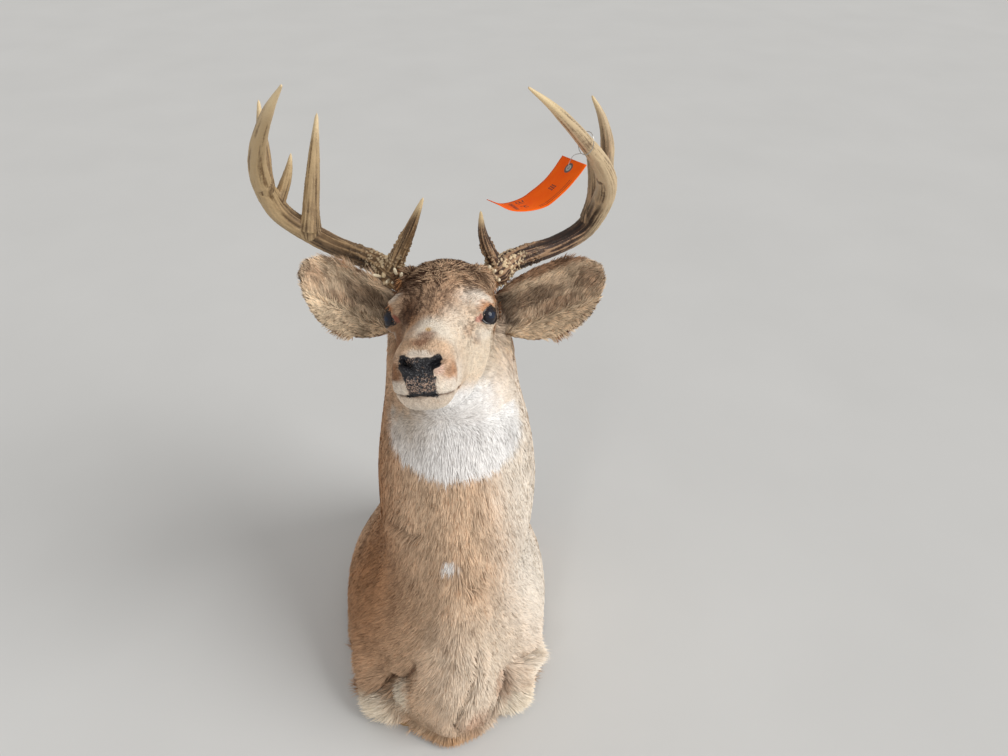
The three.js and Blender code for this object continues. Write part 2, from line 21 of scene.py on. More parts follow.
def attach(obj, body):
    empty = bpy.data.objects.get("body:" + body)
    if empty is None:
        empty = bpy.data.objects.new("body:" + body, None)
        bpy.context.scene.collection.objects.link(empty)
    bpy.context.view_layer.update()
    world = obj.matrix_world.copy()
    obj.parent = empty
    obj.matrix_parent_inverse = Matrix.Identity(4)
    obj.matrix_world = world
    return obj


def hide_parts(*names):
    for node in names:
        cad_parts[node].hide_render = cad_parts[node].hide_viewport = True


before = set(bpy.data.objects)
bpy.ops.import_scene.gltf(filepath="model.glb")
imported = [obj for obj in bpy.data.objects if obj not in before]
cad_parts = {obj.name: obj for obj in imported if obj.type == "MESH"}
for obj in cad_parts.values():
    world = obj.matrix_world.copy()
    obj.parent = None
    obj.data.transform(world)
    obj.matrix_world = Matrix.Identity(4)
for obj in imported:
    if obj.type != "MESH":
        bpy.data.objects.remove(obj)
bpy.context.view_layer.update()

# %% [markdown]
# ## Where we look from
#
# A mount on the floor is seen by someone who stands over it. The camera is a little over head height of a
# seated person, tipped down by about 38 degrees, with a wide lens. One matrix says all of it: turn, tip and
# roll, then the place.

# %% Camera
SENSOR, LENS = 36, 27.04  # mm
CAMERA_AT = (0.042, -0.909, 1.25)  # m
CAMERA_TURN, CAMERA_TIP, CAMERA_ROLL = -4.5, 52.1, 0.825  # degrees
camera_data = bpy.data.cameras.new("camera")
camera_data.sensor_width, camera_data.lens = SENSOR, LENS
camera = bpy.data.objects.new("camera", camera_data)
camera.matrix_world = (
    Matrix.Translation(CAMERA_AT)
    @ Matrix.Rotation(radians(CAMERA_TURN), 4, "Z")
    @ Matrix.Rotation(radians(CAMERA_TIP), 4, "X")
    @ Matrix.Rotation(radians(CAMERA_ROLL), 4, "Z")
)
bpy.context.scene.collection.objects.link(camera)
bpy.context.scene.camera = camera
bpy.context.scene.view_settings.view_transform = "Standard"
print("camera at", [round(c, 3) for c in camera.matrix_world.translation])

# %% [markdown]
# ## Soft light
#
# Fur needs one light that is clearly stronger than the rest, or its locks cast no shade on each other. A
# wide sun at the right does that, as a big window would: its angle sets how soft its shadows are, and it
# lights the floor evenly. A panel in front gives the glass eyes something to mirror, and a pale sky keeps
# the shadows open.


# %% Lights
def aimed(name, kind, place, target, colour):
    """A light of that kind at place, facing target."""
    data = bpy.data.lights.new(name, kind)
    data.color = colour
    light = bpy.data.objects.new(name, data)
    aim = Vector(target) - Vector(place)
    light.matrix_world = Matrix.Translation(place) @ aim.to_track_quat("-Z", "Y").to_matrix().to_4x4()
    bpy.context.scene.collection.objects.link(light)
    return data


HEART = (0.03, -0.05, 0.5)
SKY_WHITE, SKY_STRENGTH = (1, 0.98, 0.96), 0.5
window = aimed("window_sun", "SUN", (2.2, -0.9, 1.9), HEART, (1, 1, 0.99))
window.energy, window.angle = 2.3, radians(38)
front = aimed("front_panel", "AREA", (-0.7, -2.0, 1.5), HEART, SKY_WHITE)
front.shape, front.size, front.energy = "DISK", 0.4, 7
sky = bpy.data.worlds.new("sky")
sky.use_nodes = True
sky.node_tree.nodes["Background"].inputs["Color"].default_value = (*SKY_WHITE, 1)
sky.node_tree.nodes["Background"].inputs["Strength"].default_value = SKY_STRENGTH
bpy.context.scene.world = sky

# %% [markdown]
# ## Writing materials as sums
#
# A finish is a picture made of arithmetic: distance from the eye, a noise, a ramp. Wiring that by hand is
# slow to read, so a socket is wrapped in a small class and the sums are written as sums. Numbers use Math
# nodes. Colours and vectors use Vector Math and Mix nodes, because a Math node would turn them grey.


# %% A socket that can be added and multiplied
class Wire:
    """The output of a node, for use in sums."""

    def __init__(self, bench, socket):
        self.bench, self.socket = bench, socket

    def sum(self, operation, first, second):
        def is_number(value):
            return value.socket.type == "VALUE" if isinstance(value, Wire) else not isinstance(value, tuple)

        kind = "ShaderNodeMath" if is_number(first) and is_number(second) else "ShaderNodeVectorMath"
        return self.bench.node(kind, {"operation": operation}, {0: first, 1: second})

    def __add__(self, other): return self.sum("ADD", self, other)
    def __radd__(self, other): return self.sum("ADD", other, self)
    def __sub__(self, other): return self.sum("SUBTRACT", self, other)
    def __rsub__(self, other): return self.sum("SUBTRACT", other, self)
    def __mul__(self, other): return self.sum("MULTIPLY", self, other)
    def __rmul__(self, other): return self.sum("MULTIPLY", other, self)
    def __truediv__(self, other): return self.sum("DIVIDE", self, other)
    def __pow__(self, other): return self.sum("POWER", self, other)


class Bench:
    """Builds one material. node() adds any node: its settings first, then the values or wires of its sockets."""

    def __init__(self, name):
        self.material = bpy.data.materials.new(name)
        self.material.use_nodes = True
        self.tree = self.material.node_tree
        self.tree.nodes.clear()

    def node(self, kind, settings=None, inputs=None, out=0):
        made = self.tree.nodes.new(kind)
        for name, value in (settings or {}).items():
            if name == "stops":
                ramp = made.color_ramp.elements
                while len(ramp) < len(value):
                    ramp.new(0.5)
                for stop, (place, colour) in zip(ramp, value):
                    stop.position, stop.color = place, (*colour, 1)
            else:
                setattr(made, name, value)
        for name, value in (inputs or {}).items():
            socket = made.inputs[name]
            if isinstance(value, Wire):
                self.tree.links.new(value.socket, socket)
            elif socket.type == "VECTOR" and isinstance(value, (int, float)):
                socket.default_value = (value, value, value)
            elif socket.type == "RGBA":
                socket.default_value = (*value, 1)
            else:
                socket.default_value = value
        return Wire(self, made.outputs[out]) if made.outputs else None

    def mix(self, share, first, second, blend="MIX"):
        """first where share is 0, second where it is 1."""
        settings = {"data_type": "RGBA", "blend_type": blend}
        return self.node("ShaderNodeMix", settings, {0: share, 6: first, 7: second}, out=2)

    def ease(self, value, start, end, low=0.0, high=1.0):
        """A smooth step from low at start to high at end."""
        inputs = {0: value, 1: start, 2: end, 3: low, 4: high}
        return self.node("ShaderNodeMapRange", {"interpolation_type": "SMOOTHSTEP"}, inputs)

    def number(self, operation, first, second=0.0):
        """A sum for which Python has no sign, such as MAXIMUM."""
        return self.node("ShaderNodeMath", {"operation": operation}, {0: first, 1: second})

    def length(self, vector):
        return self.node("ShaderNodeVectorMath", {"operation": "LENGTH"}, {0: vector}, out="Value")

    def dot(self, vector, axis):
        inputs = {0: vector, 1: tuple(axis)}
        return self.node("ShaderNodeVectorMath", {"operation": "DOT_PRODUCT"}, inputs, out="Value")

    def parts(self, vector):
        """The three numbers of a vector."""
        return [self.node("ShaderNodeSeparateXYZ", {}, {0: vector}, out=k) for k in range(3)]

    def place(self):
        """The place on the object, in metres."""
        return self.node("ShaderNodeTexCoord", out="Object")

    def kept(self, name, out="Fac"):
        """What is kept on the mesh's points under that name."""
        return self.node("ShaderNodeAttribute", {"attribute_name": name}, out=out)

    def noise(self, place, scale, detail=2.0, rough=0.5, stretch=None):
        """Noise from 0 to 1. stretch scales the place along each axis first."""
        if stretch:
            place = place * tuple(stretch)
        inputs = {"Vector": place, "Scale": scale, "Detail": detail, "Roughness": rough}
        return self.node("ShaderNodeTexNoise", {}, inputs)

    def bump(self, height, distance, strength=1.0):
        return self.node("ShaderNodeBump", {}, {"Height": height, "Distance": distance, "Strength": strength})

    def finish(self, **sockets):
        """The Principled surface that ends a material. Socket names are written with _ for a space."""
        inputs = {name.replace("_", " "): value for name, value in sockets.items()}
        surface = self.node("ShaderNodeBsdfPrincipled", {}, inputs)
        self.node("ShaderNodeOutputMaterial", {}, {"Surface": surface})
        return self.material


# %% [markdown]
# ## The floor
#
# A plain pale floor, wide enough to reach past the edges of the view. It isn't part of the mount. A faint
# cloudiness keeps it from looking like paper.

# %% Floor
floor_bench = Bench("floor_finish")
floor_place = floor_bench.place()
floor_clouds = floor_bench.noise(floor_place, 2.5, 3)
floor_finish = floor_bench.finish(
    Base_Color=floor_bench.mix(floor_clouds, (0.60, 0.60, 0.59), (0.66, 0.66, 0.65)),
    Roughness=0.75,
)
floor_mesh = bpy.data.meshes.new("floor")
FLOOR_REACH, FLOOR_DROP = 9, -0.0004
floor_corners = [(x * FLOOR_REACH, y * FLOOR_REACH, FLOOR_DROP) for x, y in ((-1, -1), (1, -1), (1, 1), (-1, 1))]
floor_mesh.from_pydata(floor_corners, [], [(0, 1, 2, 3)])
floor_mesh.materials.append(floor_finish)
floor = bpy.data.objects.new("floor", floor_mesh)
bpy.context.scene.collection.objects.link(floor)
print("floor:", floor.name)

# %% [markdown]
# ## Meshes as arrays
#
# The skin has some hundred thousand points and the coat two million, so they are worked on as numpy arrays
# and handed to Blender whole. A few helpers go between the two. Numbers that a finish reads, such as a
# tuft's tone, are kept on the points.


# %% Arrays to meshes and back
def mesh_object(name, points, corners, sides):
    """An object from its points, the point of each face corner, and each face's number of corners."""
    mesh = bpy.data.meshes.new(name)
    mesh.vertices.add(len(points))
    mesh.vertices.foreach_set("co", np.ascontiguousarray(points, np.float32).ravel())
    mesh.loops.add(len(corners))
    mesh.loops.foreach_set("vertex_index", np.ascontiguousarray(corners, np.int32).ravel())
    mesh.polygons.add(len(sides))
    starts = np.concatenate([[0], np.cumsum(sides)[:-1]]).astype(np.int32)
    mesh.polygons.foreach_set("loop_start", starts)
    mesh.polygons.foreach_set("use_smooth", np.ones(len(sides), bool))
    mesh.update(calc_edges=True)
    made = bpy.data.objects.new(name, mesh)
    bpy.context.scene.collection.objects.link(made)
    return made


def keep(made, name, values):
    """Keeps a number, or a vector, for each point of an object under that name."""
    kind, field = ("FLOAT_VECTOR", "vector") if values.ndim == 2 else ("FLOAT", "value")
    made.data.attributes.new(name, kind, "POINT").data.foreach_set(field, values.astype(np.float32).ravel())


def arrays_of(mesh):
    """A mesh's points, the points of its face corners, its faces' numbers of corners, and its edges."""
    points = np.empty(len(mesh.vertices) * 3, np.float32)
    mesh.vertices.foreach_get("co", points)
    corners = np.empty(len(mesh.loops), np.int32)
    mesh.loops.foreach_get("vertex_index", corners)
    sides = np.empty(len(mesh.polygons), np.int32)
    mesh.polygons.foreach_get("loop_total", sides)
    edges = np.empty(len(mesh.edges) * 2, np.int32)
    mesh.edges.foreach_get("vertices", edges)
    return points.reshape(-1, 3).astype(float), corners, sides, edges.reshape(-1, 2)


def applied(made, kind, **settings):
    """made with one modifier applied, as arrays."""
    modifier = made.modifiers.new(kind.lower(), kind)
    for name, value in settings.items():
        setattr(modifier, name, value)
    seen = made.evaluated_get(bpy.context.evaluated_depsgraph_get())
    found = arrays_of(seen.to_mesh())
    seen.to_mesh_clear()
    made.modifiers.remove(modifier)
    return found


def unit(vectors):
    return vectors / np.maximum(np.linalg.norm(vectors, axis=-1, keepdims=True), 1e-12)


def normals_of(points, corners, sides):
    """The normal at each point, from the faces round it. All faces have the same number of sides."""
    faces = corners.reshape(-1, sides[0])
    across = points[faces[:, 2]] - points[faces[:, 0]]
    down = points[faces[:, -1]] - points[faces[:, 1]]
    flat = np.cross(across, down)
    total = [sum(np.bincount(corner, flat[:, axis], len(points)) for corner in faces.T) for axis in range(3)]
    return unit(np.stack(total, 1))


# %% [markdown]
# ## Grow one skin over the flesh
#
# A hide is one piece from nose to board, but the solids are parted into trunk, neck, head, jaw and ears by
# cuts thinner than a hair. Each solid is swollen until the cuts close, and the lot is remeshed from a grid
# of fine cells, which melts them into one closed surface. Small cells keep the mouth and nostrils sharp.

# %% Melt the solids together
BODY_FLESH = ["trunk", "neck", "foreleg_left", "foreleg_right"]
HEAD_FLESH = ["head", "lower_jaw", "nose", "ear_left", "ear_right"]
SWELL, COARSE_CELL, FINE_CELL = 0.0007, 0.004, 0.0017


def swollen(node, by):
    """The node's points pushed out along their normals by that much, and its triangles."""
    shape = bmesh.new()
    shape.from_mesh(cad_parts[node].data)
    bmesh.ops.remove_doubles(shape, verts=shape.verts, dist=1e-6)
    shape.normal_update()
    points = np.array([v.co + v.normal * by * min(v.calc_shell_factor(), 2) for v in shape.verts])
    faces = np.array([[v.index for v in f.verts] for f in shape.faces])
    shape.free()
    return points, faces


def melted(lumps, cell):
    """One closed surface round several closed lumps, each of them points and faces."""
    starts = np.cumsum([0] + [len(points) for points, _ in lumps])
    corners = np.concatenate([(faces + start).ravel() for (_, faces), start in zip(lumps, starts)])
    sides = np.concatenate([np.full(len(faces), faces.shape[1]) for _, faces in lumps])
    lump = mesh_object("lump", np.concatenate([points for points, _ in lumps]), corners, sides)
    found = applied(lump, "REMESH", mode="VOXEL", voxel_size=cell, adaptivity=0)
    bpy.data.objects.remove(lump)
    return found


# %% [markdown]
# ## Where each part of the skin lies
#
# Coat length, hair direction, folds and colour all depend on the part of the deer. The head has its own
# frame, with its origin midway between the eyes, x to the deer's left, y to the back of the head and z out
# of the forehead. Distances are easier to think of in millimetres there.

# %% The head's frame
HEAD_AT = np.array([22, -43, 683.0])
HEAD_AXES = np.array(
    Matrix.Rotation(radians(-7), 3, "Z") @ Matrix.Rotation(radians(-27), 3, "X") @ Matrix.Rotation(radians(-4), 3, "Y")
)


def in_head(points):
    """Points in metres of the whole, as millimetres of the head."""
    return (points * 1000 - HEAD_AT) @ HEAD_AXES


def from_head(points):
    return (np.asarray(points, float) @ HEAD_AXES.T + HEAD_AT) / 1000


def ease(value, start, end):
    """0 up to start, 1 from end, smooth between."""
    t = np.clip((value - start) / (end - start), 0, 1)
    return t * t * (3 - 2 * t)


EAR_REACH = (68, 60)  # mm off the ear's middle line, from none of it to all of it
EARS = {
    "left": {"root": (86, 46, 620), "tip": (254, 30, 704), "mouth": (-0.12, -0.84, 0.52), "half": 41},
    "right": {"root": (-23, 43, 630), "tip": (-166, 30, 722), "mouth": (0.14, -0.84, 0.5), "half": 37},
}


def along_ear(points, ear):
    """How far along the ear points are, from 0 at the root to 1 at the tip, and how far from its middle line in mm."""
    root, tip = np.array(ear["root"], float), np.array(ear["tip"], float)
    line = tip - root
    from_root = points * 1000 - root
    share = from_root @ line / (line @ line)
    return share, np.linalg.norm(from_root - share[:, None] * line, axis=1)


def ear_place(points, normals):
    """Each point's share of the ear's length, its place across from -1 below to 1 above, and 1 inside the ear."""
    found = np.zeros((len(points), 3))
    for ear in EARS.values():
        root, tip, mouth = (np.array(ear[key], float) for key in ("root", "tip", "mouth"))
        line = unit(tip - root)
        up = unit(np.cross(line, mouth))
        up *= np.sign(up[2])
        share, off = along_ear(points, ear)
        on_ear = ease(share, 0.0, 0.12) * ease(off, *EAR_REACH)
        chosen = on_ear > 0
        found[chosen, 0] = share[chosen]
        found[chosen, 1] = ((points[chosen] * 1000 - root) @ up) / ear["half"]
        found[chosen, 2] = (ease(normals @ unit(mouth), -0.05, 0.3) * on_ear)[chosen]
    return found


def regions_of(points):
    """How much each point belongs to head, neck and body, ears and nose, from 0 to 1."""
    head = in_head(points)
    ears = np.zeros(len(points))
    for ear in EARS.values():
        share, off = along_ear(points, ear)
        ears = np.maximum(ears, ease(share, 0.04, 0.2) * ease(off, 66, 58))
    behind = head[:, 1] + 0.55 * (head[:, 2] + 60)
    face = ease(behind, 95, 15) * ease(head[:, 2], -190, -140) * (1 - ears)
    off_pad = np.linalg.norm((head - (0, -190, -46)) / (25, 16, 27), axis=1)
    pad = ease(off_pad, 1.15, 0.9)
    return {"ears": ears, "face": face, "pad": pad, "body": (1 - face) * (1 - ears)}


# %% [markdown]
# ## Soften the facets
#
# The solids are faceted, and their faces would show through short hair. Each point is drawn to the mean of
# its neighbours again and again. The body is melted on a coarse grid first, where a few rounds smooth a
# hand's breadth, and then everything is melted on the fine grid. The ears are thin and get the fewest
# rounds. A ball goes in where each eye lies, so that the skin closes over it as a shut lid would; the
# opening is cut later.


# %% Smooth the body, then the whole
DRAW = 0.6  # how far a point is drawn to its neighbours' mean in one round
COARSE_ROUNDS, FINE_ROUNDS, MORE_ROUNDS, ANTLER_ROUNDS = 24, 4, 9, 6


def smoothed(points, edges, amount, rounds):
    """Points drawn to their neighbours' mean by amount, rounds times."""
    size = len(points)
    near = np.maximum(np.bincount(edges.ravel(), minlength=size), 1)
    first, second = edges.T
    for _ in range(rounds):
        total = [np.bincount(first, of[second], size) + np.bincount(second, of[first], size) for of in points.T]
        total = np.stack(total, 1)
        points = points + amount[:, None] * (total / near[:, None] - points)
    return points


EYE_RADIUS, LID_THICK = 16.5, 1.9
EYES = {
    name: {"at": np.array((60.0 * side, -5, 0)), "out": np.array((0.78 * side, -0.61, 0.1)), "side": side}
    for name, side in (("left", 1), ("right", -1))
}


def ball(centre, radius):
    """A fine closed ball, as points and triangles."""
    shape = bmesh.new()
    bmesh.ops.create_icosphere(shape, subdivisions=4, radius=radius)
    points = np.array([v.co for v in shape.verts]) + centre
    faces = np.array([[v.index for v in f.verts] for f in shape.faces])
    shape.free()
    return points, faces


# the hide runs on over the joint of foreleg and shoulder, and over the board's two front corners: centre, size
PADDING = [
    ((-112, -118, 84), (48, 62, 52)), ((132, -118, 84), (48, 62, 52)),
    ((-112, -150, 60), (46, 60, 46)), ((134, -150, 60), (44, 60, 46)),
    ((-70, -216, 30), (62, 38, 27)), ((92, -214, 30), (60, 38, 27)),
]


def stretched(centre, size):
    """A ball stretched along each axis by size, as points in metres and triangles."""
    points, faces = ball(np.zeros(3), 1.0)
    return (points * size + centre) / 1000, faces


body_lumps = [*(swollen(node, SWELL) for node in BODY_FLESH), *(stretched(*pad) for pad in PADDING)]
points, corners, sides, edges = melted(body_lumps, COARSE_CELL)
points = smoothed(points, edges, DRAW * ease(points[:, 2], 0.002, 0.014), COARSE_ROUNDS)
body_lump = points, corners.reshape(-1, 4)
eye_lumps = [ball(from_head(eye["at"]), (EYE_RADIUS + LID_THICK) / 1000) for eye in EYES.values()]
skin_points, skin_corners, skin_sides, skin_edges = melted(
    [body_lump, *eye_lumps, *(swollen(node, SWELL) for node in HEAD_FLESH)], FINE_CELL
)
skin_where = regions_of(skin_points)
skin_points = smoothed(skin_points, skin_edges, DRAW * np.ones(len(skin_points)), FINE_ROUNDS)
skin_points = smoothed(skin_points, skin_edges, DRAW * (1 - skin_where["ears"]), MORE_ROUNDS)
print("skin of", len(skin_points), "points,", len(skin_sides), "faces")

# %% [markdown]
# ## Sink the skin by the depth of the coat
#
# The solids are drawn out to the tips of the hair, so the skin lies inside them: about 7 mm on the chest, 2
# mm on the forehead, next to nothing on the muzzle and none on the bare nose.


# %% Room for the coat
def coat_depth(points, where):
    """How deep the coat lies, in metres."""
    head = in_head(points)
    face = 0.0008 + 0.0016 * ease(head[:, 1], -120, 40)
    body = 0.0030 + 0.0040 * ease(points[:, 2], 0.62, 0.5)
    depth = where["body"] * body + where["face"] * face + where["ears"] * 0.0006
    return depth * (1 - where["pad"]) * ease(points[:, 2], 0.016, 0.03)


skin_normals = normals_of(skin_points, skin_corners, skin_sides)
skin_points = skin_points - skin_normals * coat_depth(skin_points, skin_where)[:, None]
print("skin sunk to", skin_points.min(0).round(3), skin_points.max(0).round(3))

# %% [markdown]
# ## Folds, pits and swellings
#
# A hide keeps the marks of the animal: the mouth's line, the nostrils, the pit of the tear gland in front
# of the eye, the fold behind the shoulder. Each is a path or a spot with a width and a depth, and pushes
# the skin in or out along its normal. A path with a round cross-section is the simplest thing that gives a
# crease, and its depth fades to nothing at both ends.


# %% Paths and spots that move the skin
def off_path(points, path):
    """How far points are from a path, and where along it the nearest place is, from 0 to 1."""
    path = np.asarray(path, float)
    best, share_of_path = np.full(len(points), 1e9), np.zeros(len(points))
    for k, (start, end) in enumerate(zip(path[:-1], path[1:])):
        line = end - start
        share = np.clip((points - start) @ line / (line @ line), 0, 1)
        off = np.linalg.norm(points - start - share[:, None] * line, axis=1)
        nearer = off < best
        best[nearer], share_of_path[nearer] = off[nearer], (k + share[nearer]) / (len(path) - 1)
    return best, share_of_path


def bell(value, width):
    """1 where value is 0, falling to either side over that width."""
    return np.exp(-((value / width) ** 2))


def crease(points, path, width, depth, lip, fade):
    """How far a crease pushes each point out, in mm. lip raises its edges, fade is how much of each end runs out."""
    off, share = off_path(points, path)
    taper = ease(share, -0.01, fade) * ease(1 - share, -0.01, fade)
    return taper * (lip * bell(off - 2.2 * width, 1.3 * width) - depth * bell(off, width))


def swelling(points, centre, size, height):
    return height * np.exp(-(((points - centre) / size) ** 2).sum(1))


def off_mouth(head):
    """How far above the mouth's line each place is, in mm, met from the side, and 1 where there is a mouth."""
    line = np.array(MOUTH_LINE[::-1], float)
    turn, at = (np.arctan2(p[:, 0], -(p[:, 1] + MUZZLE_AXIS)) for p in (head, line))
    has_mouth = ease(head[:, 1], -94, -104) * ease(np.abs(turn), 1.8, 1.6)
    return head[:, 2] - np.interp(turn, at, line[:, 2]), has_mouth


def mirrored(path):
    return [(-x, y, z) for x, y, z in path]


def both_sides(centre, size, height):
    """A swelling and its mirror image."""
    return [(centre, size, height), (*mirrored([centre]), size, height)]


# the line round the muzzle is met by the turn about an upright axis, that many mm in front of the eyes
MUZZLE_AXIS = 110
MOUTH_LINE = [
    (44, -98, -78), (43, -110, -75), (40, -130, -72), (36, -152, -70), (29, -174, -68.5), (16, -189, -69.5),
    (-2, -193, -70.5),
    (-19, -189, -70), (-31, -178, -69), (-37, -160, -68), (-40, -130, -71), (-42, -110, -75), (-43, -98, -78),
]
NOSTRIL = [(9, -197, -41), (12, -196, -35), (17, -192, -31), (21.5, -186, -31), (24, -180, -34)]
TEAR_PIT = [(51, -24, -3), (48, -31, -5), (44, -39, -8), (41, -46, -11)]
CHEEK_FOLD = [(58, 40, -60), (60, 20, -86), (52, -10, -104)]
# path in mm, width, depth, lip, fade
HEAD_CREASES = [
    (NOSTRIL, 3.0, 8.5, 1.1, 0.2),
    (mirrored(NOSTRIL), 3.0, 8.5, 1.1, 0.2),
    ([(-1, -199, -40), (-1, -198, -50), (-1, -195, -64)], 1.6, 1.2, 0.2, 0.3),
    (TEAR_PIT, 2.6, 3.2, 0.6, 0.3),
    (mirrored(TEAR_PIT), 2.6, 3.2, 0.6, 0.3),
    ([(35, -66, -3), (43, -50, -13), (52, -34, -27)], 3.0, 1.3, 0.5, 0.4),
    ([(41, -72, -10), (49, -55, -22), (56, -36, -38)], 3.2, 1.1, 0.4, 0.4),
    ([(-42, -60, -6), (-50, -42, -18), (-56, -28, -34)], 3.2, 1.3, 0.5, 0.4),
    (CHEEK_FOLD, 7.0, 2.0, 0.6, 0.4),
    (mirrored(CHEEK_FOLD), 7.0, 2.0, 0.6, 0.4),
]
# centre, size, height in mm
HEAD_SWELLINGS = [
    *both_sides((42, -26, 26), (16, 18, 14), -2.4),
    *both_sides((55, -22, -18), (12, 22, 8), 1.6),
    *both_sides((30, -172, -56), (12, 18, 12), 1.8),
    ((0, -172, -84), (20, 16, 9), 1.8),
    *both_sides((26, -184, -34), (8, 9, 8), 1.6),
    *both_sides((52, 22, -52), (14, 34, 30), 2.4),
    ((38, -108, -72), (14, 32, 18), 4.5), ((-38, -118, -56), (16, 38, 26), 3.0), ((44, -84, -50), (16, 40, 24), 6.0),
    ((0, -150, -100), (34, 50, 16), -5.0),
    ((0, -20, 40), (26, 34, 16), -1.4), ((0, -112, 8), (9, 40, 10), 0.9),
]
# a fold of the body is met head on, so depth hardly counts in the distance from its path
HEAD_ON = np.array((1, 0.03, 1))
BODY_CREASES = [
    ([(36, -186, 346), (44, -203, 308), (50, -203, 299), (70, -197, 296)], 3.0, 5.0, 1.4, 0.25),
    ([(-74, -90, 345), (-55, -116, 347), (-30, -140, 353), (-8, -150, 367)], 5.0, 6.0, 1.8, 0.3),
    (
        [(56, -252, 214), (53, -266, 176), (42, -282, 142), (27, -296, 110), (20, -301, 75), (25, -298, 30)],
        5.4, 13.0, 4.0, 0.2,
    ),
    ([(102, -236, 116), (96, -250, 80), (84, -262, 52), (66, -276, 22)], 5.0, 11.0, 3.0, 0.2),
    ([(-24, -248, 172), (-52, -240, 112), (-84, -232, 74), (-122, -222, 46)], 6.0, 12.0, 3.0, 0.2),
    ([(160, -160, 84), (134, -202, 86), (104, -232, 104)], 5.0, 8.0, 1.8, 0.2),
    ([(-66, -236, 90), (-74, -240, 56), (-66, -246, 24)], 4.0, 8.0, 2.0, 0.3),
    ([(92, -60, 560), (112, -52, 470), (122, -60, 380), (134, -96, 300)], 16.0, 2.6, 0.8, 0.35),
    ([(-84, -30, 560), (-102, -34, 470), (-108, -60, 380), (-116, -110, 290)], 16.0, 2.6, 0.8, 0.35),
]
BODY_SWELLINGS = [
    ((64, -282, 96), (24, 40, 62), 6.0), ((-62, -250, 60), (24, 26, 40), 5.0), ((118, -214, 70), (26, 34, 26), 4.0),
    ((-10, -280, 120), (34, 30, 70), 3.0),
    ((-150, 60, 150), (60, 130, 80), -13.0), ((174, 60, 150), (60, 130, 80), -13.0),
]
# how strongly each of them thins and shortens the coat and darkens it with painted shade; the last two don't
FOLD_STRENGTHS = (0.6, 0.6, 1.0, 0.9, 0.9, 0.6, 0.6)
FOLD_LINES = [(path, width, strength) for (path, width, *_), strength in zip(BODY_CREASES, FOLD_STRENGTHS)]


def fold_share(points):
    """1 deep in a fold of the body or on the mouth's line, 0 away from it: the coat is thinned there and darkened with
    painted shade.
    """
    share = np.zeros(len(points))
    for path, width, strength in FOLD_LINES:
        off, along = off_path(points * 1000 * HEAD_ON, path * HEAD_ON)
        taper = strength * bell(off, 0.9 * width) * ease(along, -0.02, 0.25) * ease(1 - along, -0.02, 0.2)
        share = np.maximum(share, taper)
    share = share * ease(points[:, 1], -0.06, -0.09)
    above, has_mouth = off_mouth(in_head(points))
    return np.maximum(share, has_mouth * 0.9 * bell(above, 1.9) * ease(points[:, 2], 0.5, 0.55))


skin_normals = normals_of(skin_points, skin_corners, skin_sides)
push, head = np.zeros(len(skin_points)), in_head(skin_points)
for path, width, depth, lip, fade in HEAD_CREASES:
    push += crease(head, path, width, depth, lip, fade)
above, has_mouth = off_mouth(head)
push += has_mouth * skin_where["face"] * (0.9 * bell(above - 3.4, 2.0) - 4.5 * bell(above, 1.5))
for centre, size, height in HEAD_SWELLINGS:
    push += swelling(head, centre, size, height)
in_front = ease(skin_points[:, 1], 0.0, -0.04)
for path, width, depth, lip, fade in BODY_CREASES:
    push += crease(skin_points * 1000 * HEAD_ON, path * HEAD_ON, width, depth, lip, fade) * in_front
for centre, size, height in BODY_SWELLINGS:
    push += swelling(skin_points * 1000, centre, size, height)
skin_points = skin_points + skin_normals * push[:, None] / 1000

# the ears' hollows go in and their rims out, along the way the ear opens
cup = ear_place(skin_points, skin_normals)
for ear in EARS.values():
    share, off = along_ear(skin_points, ear)
    hollow = -9.0 * np.clip(1 - (cup[:, 1] / 0.85) ** 2, 0, 1) * ease(share, 0.02, 0.3) * ease(share, 1.0, 0.7)
    rolled = 5.0 * ease(np.abs(cup[:, 1]), 0.7, 1.0) * ease(share, 0.1, 0.4) * ease(share, 1.0, 0.8)
    on_ear = ease(off, *EAR_REACH) * ease(share, 0.0, 0.12)
    skin_points = skin_points + (on_ear * (hollow + rolled))[:, None] * unit(np.array(ear["mouth"])) / 1000
print("pushed in by up to", round(-push.min(), 1), "mm and out by", round(push.max(), 1), "mm")

# %% [markdown]
# ## Open the eyes
#
# The eye is a glass ball, set deep, and only an almond of it shows between the lids. Directions are
# measured from the middle of the ball: outward, forward along the face, and up. Skin inside the almond
# drops behind the glass. The lids themselves are too crisp for the grid, so each pair is a strip of its
# own, wound round the almond: it starts on the glass, rolls over a thick dark rim and runs out under the
# skin of the socket.

# %% Sink the skin inside the almond
ALMOND_LONG, ALMOND_HIGH = radians(55), radians(42)
FORWARD = np.array((0, -1, -0.16))
# shares of the almond: skin inside the first is hidden, and from there to the second it is held over the glass
HIDDEN_SHARE, HELD_SHARE = 1.12, 2.2
SOCKET, BEHIND_GLASS = 9, 3.0  # mm
for eye in EYES.values():
    eye["out"] = eye["out"] / np.linalg.norm(eye["out"])
    ahead = FORWARD - eye["out"] * (FORWARD @ eye["out"])
    eye["ahead"] = ahead / np.linalg.norm(ahead)
    eye["up"] = np.cross(eye["out"], eye["ahead"]) * eye["side"]
    eye["up"] *= np.sign(eye["up"][2])


def almond_height(turn):
    """The almond's height to its full height, round its edge: 0 ahead, a quarter turn at the top."""
    forward = np.maximum(np.cos(turn), 0)
    return 1 - 0.22 * forward**2


def almond_share(points, eye):
    """1 on the almond's edge, less inside it; and the distance from the middle of the ball in mm."""
    from_eye = points - eye["at"]
    far = np.maximum(np.linalg.norm(from_eye, axis=1), 1e-6)
    bend = np.arccos(np.clip(from_eye @ eye["out"] / far, -1, 1))
    turn = np.arctan2(from_eye @ eye["up"], from_eye @ eye["ahead"])
    return bend * np.hypot(np.cos(turn) / ALMOND_LONG, np.sin(turn) / (ALMOND_HIGH * almond_height(turn))), far


